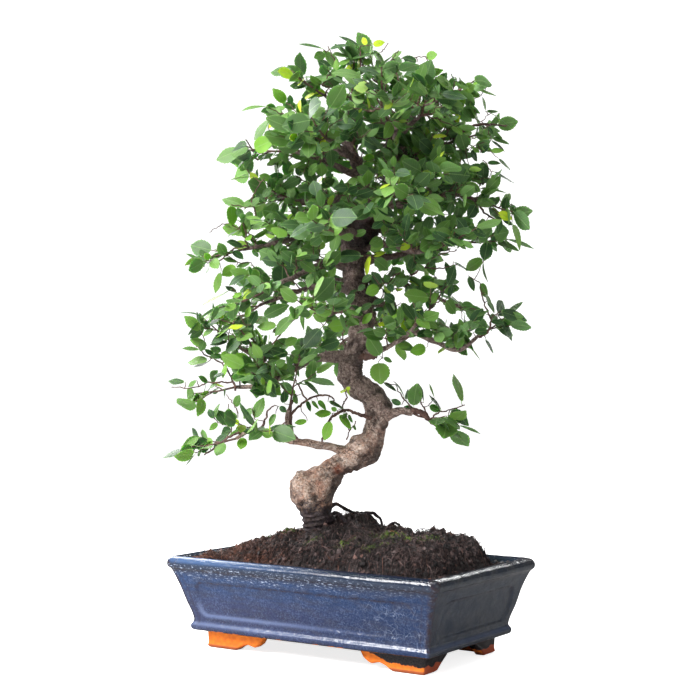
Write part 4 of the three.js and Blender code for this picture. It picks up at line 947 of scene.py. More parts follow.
def leaf_form(fold, droop, cup, wave, width, lean):
    """A leaf of length 1 along +X, facing +Z, with eight teeth a side. Its height is
    fold |y| - droop x² - cup y² + wave sin(7x) y, and the two skins meet along the edge."""
    teeth = np.linspace(LEAF_STATIONS[0], 1, 17)
    teeth[4:16:4] = LEAF_STATIONS[1:4]
    teeth[2:15:4] = (teeth[0:13:4] + teeth[4:17:4]) / 2
    teeth[1:16:2] = teeth[0:15:2] * 0.25 + teeth[2:17:2] * 0.75
    edge = leaf_half_width(teeth[1:16], width)
    edge[0::2] += LEAF_TOOTH
    rib_x = LEAF_STATIONS[1:4]
    half = 0.5 * leaf_half_width(rib_x, width)
    ends = [[LEAF_STATIONS[0], 0], [1, 0]]
    flat = np.vstack([ends, np.column_stack([teeth[1:16], edge]),
                      np.column_stack([teeth[1:16], -edge * 0.94])])
    inner = np.vstack([np.column_stack([rib_x, share * half]) for share in (0, 1, -1)])
    plan = np.vstack([flat, inner, inner])
    thick = np.repeat([0, LEAF_HALF_THICKNESS, -LEAF_HALF_THICKNESS], [len(flat), len(inner), len(inner)])
    x, y = plan.T
    z = thick + fold * np.abs(y) - droop * x**2 - cup * y**2 + wave * np.sin(7 * x) * y
    points = np.stack([x, y + lean * x**2, z], axis=1)
    under = np.repeat([0.5, 0, 1], [len(flat), len(inner), len(inner)])
    thirds = 2 * np.pi * np.arange(3) / 3
    stalk = np.stack([np.zeros(3), LEAF_STALK * np.cos(thirds), LEAF_STALK * np.sin(thirds)], axis=1)
    points = np.vstack([points, stalk, stalk + (LEAF_STATIONS[0] + 0.05, 0, 0)])
    kept = {"along": np.append(x, np.zeros(6)), "beside": np.append(y, np.zeros(6)),
            "under": np.append(under, np.ones(6))}
    left, right, top = 2, 17, 32
    faces = {3: [], 4: [], 6: [], 7: []}
    for skin, flip in ((top, 1), (top + 9, -1)):
        rib = [0, skin, skin + 1, skin + 2, 1]
        for side, first, turn in ((skin + 3, left, flip), (skin + 6, right, -flip)):
            middle = [0, side, side + 1, side + 2, 1]
            rim = [0] + list(range(first, first + 15)) + [1]
            for j in range(4):
                outward = rim[4 * j:4 * j + 5][::-1]
                near = list(dict.fromkeys([rib[j], rib[j + 1], middle[j + 1], middle[j]]))
                far = list(dict.fromkeys([middle[j], middle[j + 1]] + outward))
                for face in (near, far):
                    faces[len(face)].append(face[::turn])
    foot = len(plan)
    faces[4] += [[foot + i, foot + (i + 1) % 3, foot + 3 + (i + 1) % 3, foot + 3 + i] for i in range(3)]
    faces[3] += [[foot + 2, foot + 1, foot], [foot + 3, foot + 4, foot + 5]]
    return points, [np.array(group) for group in faces.values() if group], kept


leaf_forms = [leaf_form(*row) for row in LEAF_FORMS]


def leaf_shells(leaves, rng):
    """Every leaf as one of the forms, turned so that its length runs along it and +Z along its face.
    A leaf is its place, its direction, its facing, its length, its breadth, its tint and how young it is."""
    place, along, face, length, broad, tint, young = leaves
    which = rng.integers(len(leaf_forms), size=len(place))
    shells = []
    for number, (points, faces, kept) in enumerate(leaf_forms):
        mine = which == number
        count = int(mine.sum())
        if not count:
            continue
        aside = np.cross(face[mine], along[mine]) * broad[mine][:, None]
        axes = np.stack([along[mine], aside, face[mine]], axis=1) * length[mine][:, None, None]
        made = (points[None] @ axes + place[mine][:, None]).reshape(-1, 3)
        first = (np.arange(count) * len(points))[:, None, None]
        arrays = [(array[None] + first).reshape(-1, array.shape[1]) for array in faces]
        values = {key: np.tile(value, count) for key, value in kept.items()}
        values["tint"] = np.repeat(tint[mine], len(points))
        values["young"] = np.repeat(young[mine], len(points))
        shells.append((made, arrays, 0, values))
    return shells


leaf, tree, shader, place = blank("elm_leaf", Roughness=0.4, Subsurface_Weight=0.18)
shader.inputs["Subsurface Radius"].default_value = (0.35, 1.0, 0.12)
shader.inputs["Subsurface Scale"].default_value = 0.001
shader.inputs["Specular IOR Level"].default_value = 0.32
along, beside, under, tint, young = values_at_points(tree, *LEAF_VALUES)
off = reckon(tree, "ABSOLUTE", beside)
rib = between(tree, off, 0.02, 0.006)
slant = reckon(tree, "SUBTRACT", along, times(tree, off, 0.75))
vein = reckon(tree, "ABSOLUTE", reckon(tree, "SINE", times(tree, slant, 34.0)))
vein = times(tree, between(tree, vein, 0.3, 0.0), between(tree, off, 0.3, 0.1))
blade = coat(tree, (38, 70, 36), (80, 118, 47), between(tree, tint, 0.15, 0.6))
blade = coat(tree, blade, (106, 146, 58), between(tree, tint, 0.55, 0.8))
# The brightest tint is painted light: the glow of leaves lit from behind, which only leaves at the left take.
blade = coat(tree, blade, (108, 156, 42), between(tree, tint, 0.84, 0.96))
blade = coat(tree, blade, (86, 110, 70), cloudy(tree, place, 7.0), 0.25)
blade = coat(tree, blade, (190, 216, 44), young)
blade = coat(tree, blade, (96, 136, 76), vein, 0.16)
blade = coat(tree, blade, (130, 164, 96), rib, 0.4)
below = coat(tree, (104, 142, 84), (160, 188, 126), reckon(tree, "ADD", vein, rib), 0.3)
back = between(tree, under, 0.45, 0.55)
fill(tree, shader.inputs["Base Color"], coat(tree, blade, below, back, 0.55))
fill(tree, shader.inputs["Roughness"], reckon(tree, "ADD", times(tree, back, 0.15), 0.48))
raised(tree, shader, reckon(tree, "ADD", vein, rib), 0.0003, 0.5)

twig, tree, shader, place = blank("elm_twig", Roughness=0.7)
twig_colour = coat(tree, (66, 44, 40), (104, 76, 66), cloudy(tree, place, 5.0))
twig_colour = coat(tree, twig_colour, (150, 124, 104), specked(tree, place, 1.6, 0.3, 0.4))
fill(tree, shader.inputs["Base Color"], twig_colour)
raised(tree, shader, cloudy(tree, place, 1.2), 0.0003, 0.6)

# The sprays at the tips of the branches: a twig with two side twigs, with the solids' leaves at their places
# and smaller leaves between them.
GAP = 0.3
SPRAY_LENGTH, SPRAY_LENGTH_RANGE, SPRAY_SWING, SPRAY_TILTS, SPRAY_ROLL = 38, 0.4, 0.7, (-0.36, 0.44), 1.3
SPRAY_SPACING, SPRAY_ANGLE = 0.42, math.radians(52)
TWIG_LIFT, SIDE_TWIG_ANGLE, LEAF_ANGLE = 0.14, math.radians(48), math.radians(56)
SIDE_TWIGS = [[0.32, 0.56, 1], [0.54, 0.5, -1]]
LEAVES_ON_TWIG = [[0.76, 1], [0.96, 0]]
LEAVES_ON_SIDE_TWIG = [[0.58, 1], [0.95, 0]]
MORE_ON_TWIG = [[0.24, -1], [0.46, 1], [0.62, -1], [0.86, -1]]
MORE_ON_SIDE_TWIG = [[0.3, -1], [0.76, -1]]
LEAF_LENGTHS, SMALL_LEAF_LENGTHS = (18, 26), (9, 19)
TWIG_POINTS, FORK_POINTS, TWIG_SIDES = 8, 5, 6
YOUNG_SHARE, YOUNG_LENGTH = 0.05, 0.75
SEED_STEP, DRAW_FACTOR, DRAW_PRIME = 7919, 16807, 2147483647
UP = np.array([0.0, 0, 1])


def draws_from(seed):
    """The solids' chance: the state times a factor, modulo a prime."""
    state = seed * SEED_STEP
    while True:
        state = (state * DRAW_FACTOR) % DRAW_PRIME
        yield state / DRAW_PRIME


def any_draws(rng):
    while True:
        yield rng.random()


def turned_about(vector, axis, angle):
    """The vector turned about the axis by the angle: v cos + (k × v) sin + k (k · v)(1 - cos)."""
    return (vector * math.cos(angle) + np.cross(axis, vector) * math.sin(angle)
            + axis * (axis @ vector) * (1 - math.cos(angle)))


def standing_leaf(at, out, draw, lengths, up=0.45, outward=0.55, chance=1.7):
    """A leaf that faces up and away from the trunk, with chance. Its direction gives way to its facing."""
    away = unit(np.array([at[0], at[1], 0]))
    stray = np.array([next(draw) - 0.5 for _ in range(3)]) * chance
    face = unit(stray + UP * up + away * outward)
    along = unit(out - face * 0.75 * (out @ face))
    face = unit(face - along * (face @ along))
    length = lengths[0] + (lengths[1] - lengths[0]) * next(draw)
    return at, along, face, length


def spray_twigs(start, towards, draw, more):
    """A twig with its side twigs, as lines with their radii, and its leaves. Places on a twig run out
    straight and rise with the square of the share."""
    length = SPRAY_LENGTH * (1 - SPRAY_LENGTH_RANGE / 2 + SPRAY_LENGTH_RANGE * next(draw))
    along = turned_about(towards, UP, (next(draw) - 0.5) * SPRAY_SWING)
    along = unit(along + UP * (SPRAY_TILTS[0] + (SPRAY_TILTS[1] - SPRAY_TILTS[0]) * next(draw)))
    aside = turned_about(unit(np.cross(along, UP)), along, (next(draw) - 0.5) * SPRAY_ROLL)
    lift = np.cross(aside, along)

    def on_twig(foot, way, reach, share):
        return foot + way * reach * share + lift * TWIG_LIFT * reach * share**2

    rows = [(start, along, length, (1.1, 0.5), LEAVES_ON_TWIG, MORE_ON_TWIG, 1)]
    for at, share, side in SIDE_TWIGS:
        way = along * math.cos(SIDE_TWIG_ANGLE) + aside * side * math.sin(SIDE_TWIG_ANGLE)
        foot = on_twig(start, along, length, at)
        rows.append((foot, way, length * share, (0.6, 0.38), LEAVES_ON_SIDE_TWIG, MORE_ON_SIDE_TWIG, side))
    twigs, leaves, later = [], [], []
    steps = np.linspace(0, 1, TWIG_POINTS)
    for foot, way, reach, thick, usual, extra, side in rows:
        line = np.stack([on_twig(foot, way, reach, share) for share in steps])
        kink = np.array([[next(more) - 0.5 for _ in range(3)] for _ in steps]) * 1.1
        kink[0] = 0
        twigs.append((line + kink, np.interp(steps, (0, 1), thick)))
        twig_aside = unit(np.cross(way, lift))
        for places, kept in ((usual, leaves), (extra, later)):
            for at, leaf_side in places:
                turn = leaf_side * side * LEAF_ANGLE
                out = way * math.cos(turn) + twig_aside * math.sin(turn)
                kept.append((on_twig(foot, way, reach, at), out))
    leaves = [standing_leaf(at, out, draw, LEAF_LENGTHS) for at, out in leaves]
    leaves += [standing_leaf(at, out, more, SMALL_LEAF_LENGTHS) for at, out in later]
    return twigs, leaves


def foliage(name, twigs, leaves, rng, replaces=()):
    """Twigs and leaves as one piece: leaves in the first material, twigs in the second. Leaves that don't
    bring their own breadth, tint and youth get them by chance. A few are young and small, and the brightest
    tints, a painted glow of light from behind, are given only to leaves on the left, towards the light."""
    place, along, face, length, *own = (np.array(column, float) for column in zip(*leaves))
    if not own:
        young = np.where(rng.random(len(leaves)) < YOUNG_SHARE, rng.uniform(0.3, 1, len(leaves)), 0)
        length = length * np.where(young > 0, YOUNG_LENGTH, 1)
        # Leaves towards the right can't take the brightest tint, the painted glow of light from behind.
        away_from_painted_backlight = eased(place @ planted([1, 0, 0]), -80, -15)
        own = np.ones(len(leaves)), rng.random(len(leaves)) * (1 - 0.18 * away_from_painted_backlight), young
    shells = leaf_shells((place, along, face, length, *own), rng)
    for line, radii in twigs:
        points, faces = strands(line[None], radii[None], TWIG_SIDES)
        shells.append((points, faces, 1, {key: np.zeros(len(points)) for key in LEAF_VALUES}))
    made = piece(name, shells, [leaf, twig], replaces)
    made.data.set_sharp_from_angle(angle=math.radians(50))
    return made


spray_number = 0
for route, _, sprays in BRANCHES.values():
    stations = planted(route)
    for i in range(sprays):
        spray_number += 1
        at = 1 - i * SPRAY_SPACING
        start = curve_through(stations, np.array([at]))[0]
        ends = curve_through(stations, np.clip([at - 1e-4, at + 1e-4], 0, 1))
        along = unit(ends[1] - ends[0])
        aside = unit(np.cross(along, UP))
        turn = 0 if i == 0 else SPRAY_ANGLE if i % 2 == 0 else -SPRAY_ANGLE
        start = start + (GAP * along if i == 0 else 0)
        rng = np.random.default_rng(100 + spray_number)
        twigs, leaves = spray_twigs(start, along * math.cos(turn) + aside * math.sin(turn),
                                    draws_from(spray_number), any_draws(rng))
        name = f"spray_{spray_number:02d}"
        foliage(f"leafy_{name}", twigs, leaves, rng, [name])


# Finer shoots fill the crown between the sprays. Each leaves a branch sideways, kinks at every leaf and
# forks, and no two shoots end closer together than the spacing. Most stay clear of the wood's front.
OPEN_HEIGHT, DENSE_HEIGHT, OPEN_RISE, DENSE_FALL, MOST_RISE = 290, 420, 0.1, 0.6, 0.9
# How far apart shoots end: [height, spacing].
SHOOT_SPACINGS = [[230, 19], [275, 22], [310, 27], [360, 25], [400, 21], [440, 18.5]]
SHOOT_TRIES, SHOOT_LENGTHS = 5200, (12, 36)
SHOOT_RADII, FORK_RADII, FORK_LENGTHS = (0.75, 0.36), (0.42, 0.28), (9, 19)
BARE_RADIUS, BARE_HEIGHT, CROWN_REACH, CROWN_TOP = 34, 300, 132, 512
TOP_NARROWING, NARROW_FROM, NARROW_TO = 0.42, 430, 520
SHOOT_LEAF_STANCE = {"up": 0.35, "outward": 0.45, "chance": 1.9}
LEAST_LEAFY, LEAFIER_OUTSIDE, LEAFY_FROM, LEAFY_TO = 0.35, 0.6, 20, 60
BARE_BRANCHES = ("low_right", "low_left", "low_left_upper")
# Where the wood stands across the front, and how far to either side of it shoots stay away, by height.
WOOD_ACROSS, WOOD_CLEARANCE = [[200, 10], [350, 8], [410, 30], [470, 44]], [[380, 20], [410, 27]]
WOOD_DEPTH, KEPT_CLEAR = 8, 0.88
# The shoots stay inside the crown as it is seen from the front: [height, left end, right end].
CROWN_OUTLINE = np.array([
    [165, -95, -40], [190, -95, -30], [228, -88, 24], [245, -100, 30], [262, -104, 86], [279, -98, 104],
    [297, -102, 90], [314, -92, 82], [331, -102, 100], [348, -95, 110], [366, -92, 128], [383, -92, 120],
    [400, -72, 116], [417, -68, 118], [435, -66, 118], [452, -58, 112], [469, -48, 106], [486, -24, 84],
    [504, -20, 60], [516, 0, 30],
])


def kinked(start, end, rng, steps, sag):
    """A line of steps from start to end, sagging by a sine, each point moved by chance."""
    share = np.linspace(0, 1, steps)[:, None]
    stray = rng.normal(0, 0.045 * np.linalg.norm(end - start), (steps, 3)) * np.sin(np.pi * share) ** 0.4
    return start + (end - start) * share + UP * sag * np.sin(np.pi * share) + stray


def shoot(start, tip, rng, draw, leafy):
    """A kinked twig with two forks, and leaves to both sides in turn along all three."""
    main = kinked(start, tip, rng, TWIG_POINTS, rng.uniform(-3, 3))
    way = unit(tip - start)
    aside = turned_about(unit(np.cross(way, UP)), way, rng.uniform(-1.2, 1.2))
    twigs = [(main, np.linspace(*SHOOT_RADII, TWIG_POINTS))]
    for number, at in enumerate(rng.choice([2, 3, 4, 5], 2, replace=False)):
        side = 1 if number else -1
        fork = unit(way * 0.7 + aside * side * 0.8 + UP * rng.uniform(-0.2, 0.5))
        end = main[at] + fork * rng.uniform(*FORK_LENGTHS)
        line = kinked(main[at], end, rng, FORK_POINTS, rng.uniform(-1, 1))
        twigs.append((line, np.linspace(*FORK_RADII, FORK_POINTS)))
    leaves = []
    for number, (line, _) in enumerate(twigs):
        last = len(line) - 1
        for i in range(last, 1 if number else 2, -1):
            if rng.random() > leafy:
                continue
            forwards = unit(line[min(i + 1, last)] - line[min(i, last - 1)])
            side = 0 if i == last else (1 if i % 2 else -1)
            out = unit(forwards * (1 if side == 0 else 0.6) + aside * side * 0.8)
            leaves.append(standing_leaf(line[i], out, draw, SMALL_LEAF_LENGTHS, **SHOOT_LEAF_STANCE))
    return twigs, leaves


rng = np.random.default_rng(11)
routes = [curve_through(planted(route), np.linspace(0.1, 1, 60)) for route, _, _ in BRANCHES.values()]
reach = np.array([np.linalg.norm(np.diff(line, axis=0), axis=1).sum() for line in routes])
ends = np.empty((0, 3))
shoots = [[] for _ in routes]
sine, cosine = math.sin(TREE_TURN), math.cos(TREE_TURN)
bare = [list(BRANCHES).index(name) for name in BARE_BRANCHES]
for number in rng.choice(len(routes), SHOOT_TRIES, p=reach / reach.sum()):
    line = routes[number]
    at = rng.integers(len(line) - 1)
    along = unit(line[at + 1] - line[at])
    aside = unit(np.cross(along, UP))
    low = OPEN_RISE - DENSE_FALL * eased(line[at][2], OPEN_HEIGHT, DENSE_HEIGHT)
    way = along * rng.uniform(0, 1) + aside * rng.choice((-1, 1)) * rng.uniform(0.3, 1.3)
    way = unit(way + UP * rng.uniform(low, MOST_RISE))
    tip = line[at] + way * rng.uniform(*SHOOT_LENGTHS)
    narrow = 1 - TOP_NARROWING * eased(tip[2], NARROW_FROM, NARROW_TO)
    spacing, wood, clear = (np.interp(tip[2], *np.transpose(rows))
                            for rows in (SHOOT_SPACINGS, WOOD_ACROSS, WOOD_CLEARANCE))
    if np.hypot(*tip[:2]) < BARE_RADIUS and tip[2] < BARE_HEIGHT:
        continue
    if np.abs(tip[:2]).max() > CROWN_REACH * narrow or tip[2] > CROWN_TOP or number in bare:
        continue
    front, behind = tip[:2] @ [[cosine, -sine], [sine, cosine]]
    if behind < WOOD_DEPTH and abs(front - wood) < clear and rng.random() < KEPT_CLEAR:
        continue
    left_end, right_end = (np.interp(tip[2], CROWN_OUTLINE[:, 0], side) for side in CROWN_OUTLINE.T[1:])
    if not left_end < front < right_end or len(ends) and np.linalg.norm(ends - tip, axis=1).min() < spacing:
        continue
    ends = np.vstack([ends, tip])
    shoots[number].append((line[at], tip))
for number, name in enumerate(BRANCHES):
    twigs, leaves = [], []
    for start, tip in shoots[number]:
        leafy = LEAST_LEAFY + LEAFIER_OUTSIDE * float(eased(np.hypot(*tip[:2]), LEAFY_FROM, LEAFY_TO))
        made = shoot(start, tip, rng, any_draws(rng), leafy)
        twigs += made[0]
        leaves += made[1]
    if leaves:
        foliage(f"shoots_on_{name}", twigs, leaves, rng)


# The twigs and leaves at the edge of the crown, on the low branches and before the trunk, read off the
# photograph one by one. Places and breadths are in its pixels, counted from the left and from the top. A twig
# is its radius at either end, its depth at either end and its places. Leaves are listed by depth, as foot,
# tip, breadth, and 0 for a leaf, 1 for a young one, 2 for one painted bright green, as lit from behind.
PHOTO_MIDDLE, FOCAL_PIXELS = 350, 1507.8
EDGE_TWIGS = [
    [0.9, 0.45, 4, -22, [[403, 251], [396, 255], [388, 256], [380, 254], [373, 256]]],
    [0.8, 0.4, 6, -22, [[400, 272], [394, 276], [389, 284], [384, 292], [378, 303], [370, 306]]],
    [0.7, 0.4, -4, -22, [[345, 346], [343, 333], [346, 325], [352, 321]]],
    [1.0, 0.45, -12, -8, [[235, 391], [233, 382], [226, 382], [215, 383], [207, 382], [200, 386],
         [190, 388], [172, 387]]],
    [1.2, 0.5, -9, -14, [[262, 372], [257, 356], [250, 344], [243, 333], [237, 327]]],
    [1.0, 0.5, -9, -4, [[262, 366], [258, 352], [251, 338], [247, 326]]],
    [1.1, 0.5, -9, -16, [[264, 362], [270, 347], [280, 336], [290, 324]]],
    [0.9, 0.45, -11, -6, [[235, 390], [231, 375], [222, 364], [212, 358], [204, 354], [198, 348],
         [195, 343]]],
    [0.9, 0.4, -8, -12, [[243, 333], [233, 324], [222, 320], [212, 314]]],
    [0.6, 0.4, -10, -12, [[233, 324], [234, 316], [238, 311], [242, 320]]],
    [1.4, 0.7, -25, -27, [[240, 431], [228, 437], [216, 447], [204, 455]]],
    [0.7, 0.35, -24, -20, [[232, 434], [231, 423], [228, 411], [229, 404]]],
    [0.6, 0.35, -22, -18, [[238, 414], [234, 405], [230, 399], [226, 394]]],
    [1.6, 0.6, -17, -14, [[290, 438], [289, 425], [292, 413], [299, 406], [306, 400], [318, 396],
         [328, 395], [333, 399], [334, 403]]],
    [0.9, 0.45, -15, -20, [[306, 400], [302, 392], [297, 384], [293, 377]]],
    [1.7, 0.8, -16, -12, [[292, 437], [290, 418], [292, 405], [296, 396]]],
    [1.3, 0.5, -18, -24, [[262, 429], [265, 419], [269, 410], [274, 405]]],
    [1.2, 0.6, -20, -24, [[262, 431], [272, 430], [281, 425], [288, 420]]],
    [0.8, 1.8, -14, -10, [[322, 443], [323, 436], [327, 427], [333, 417], [345, 411], [353, 412],
         [361, 415], [371, 419]]],
    [0.9, 0.6, -14, -15, [[343, 410], [343, 404], [346, 399], [345, 391]]],
    [0.7, 0.5, -12, -14, [[347, 440], [349, 432], [353, 426], [356, 421]]],
    [3.6, 3.0, -4, -9, [[356, 357], [366, 357], [377, 356]]],
    [0.7, 0.4, -14, -14, [[350, 431], [348, 427], [345, 424]]],
    [2.8, 1.8, -10, -13, [[409, 412], [416, 411], [424, 415], [430, 420], [437, 425]]],
    [0.8, 0.4, -13, -15, [[432, 419], [436, 414], [445, 411], [455, 408], [465, 405]]],
    [0.9, 0.5, -11, -12, [[430, 419], [424, 408], [420, 400], [420, 392]]],
    [0.8, 0.35, -11, -14, [[411, 413], [410, 406], [404, 399], [398, 391], [396, 385]]],
    [0.8, 0.5, -2, -3, [[383, 351], [400, 342], [415, 333], [419, 322], [419, 310], [412, 300]]],
    [1.1, 0.6, 0, -4, [[479, 337], [487, 334], [491, 324], [489, 314], [485, 304], [481, 292]]],
    [0.6, 0.4, -3, -3, [[455, 307], [470, 308], [485, 311]]],
    [0.6, 0.35, -3, -3, [[491, 319], [496, 314], [501, 311]]],
    [1.6, 0.7, 12, 4, [[454, 139], [468, 128], [483, 124], [495, 125], [507, 126]]],
    [1.0, 0.5, -13, -10, [[476, 202], [486, 214], [499, 220], [506, 216], [512, 213]]],
    [0.9, 0.5, -3, -8, [[410, 275], [424, 268], [440, 268], [457, 265]]],
    [0.7, 0.4, -3, -8, [[424, 268], [432, 259], [445, 253], [456, 251]]],
    [0.8, 0.45, -6, -6, [[361, 70], [361, 56], [361, 46]]],
    [0.7, 0.4, -6, -6, [[337, 70], [334, 58], [328, 46]]],
    [0.5, 0.35, -6, -8, [[381, 52], [385, 47], [389, 43]]],
    [0.9, 0.5, -5, -8, [[408, 98], [401, 86], [397, 72], [391, 60]]],
    [0.5, 0.35, -8, -8, [[391, 60], [395, 54], [399, 50]]],
    [0.5, 0.35, -6, -6, [[401, 58], [413, 57], [426, 56]]],
    [1.0, 0.5, 20, -8, [[272, 165], [266, 152], [257, 159], [254, 153], [246, 140]]],
    [0.6, 0.35, -4, -10, [[257, 159], [250, 157], [243, 158]]],
    [0.9, 0.4, -8, -14, [[258, 222], [254, 208], [252, 200], [256, 190], [264, 178]]],
    [1.0, 0.45, -8, -12, [[248, 246], [238, 247], [231, 252], [222, 260], [210, 262], [197, 263]]],
    [0.5, 0.3, -10, -14, [[236, 227], [228, 223], [218, 227], [209, 233]]],
    [0.9, 0.5, -4, -10, [[272, 281], [262, 284], [254, 289], [245, 296], [231, 300]]],
]
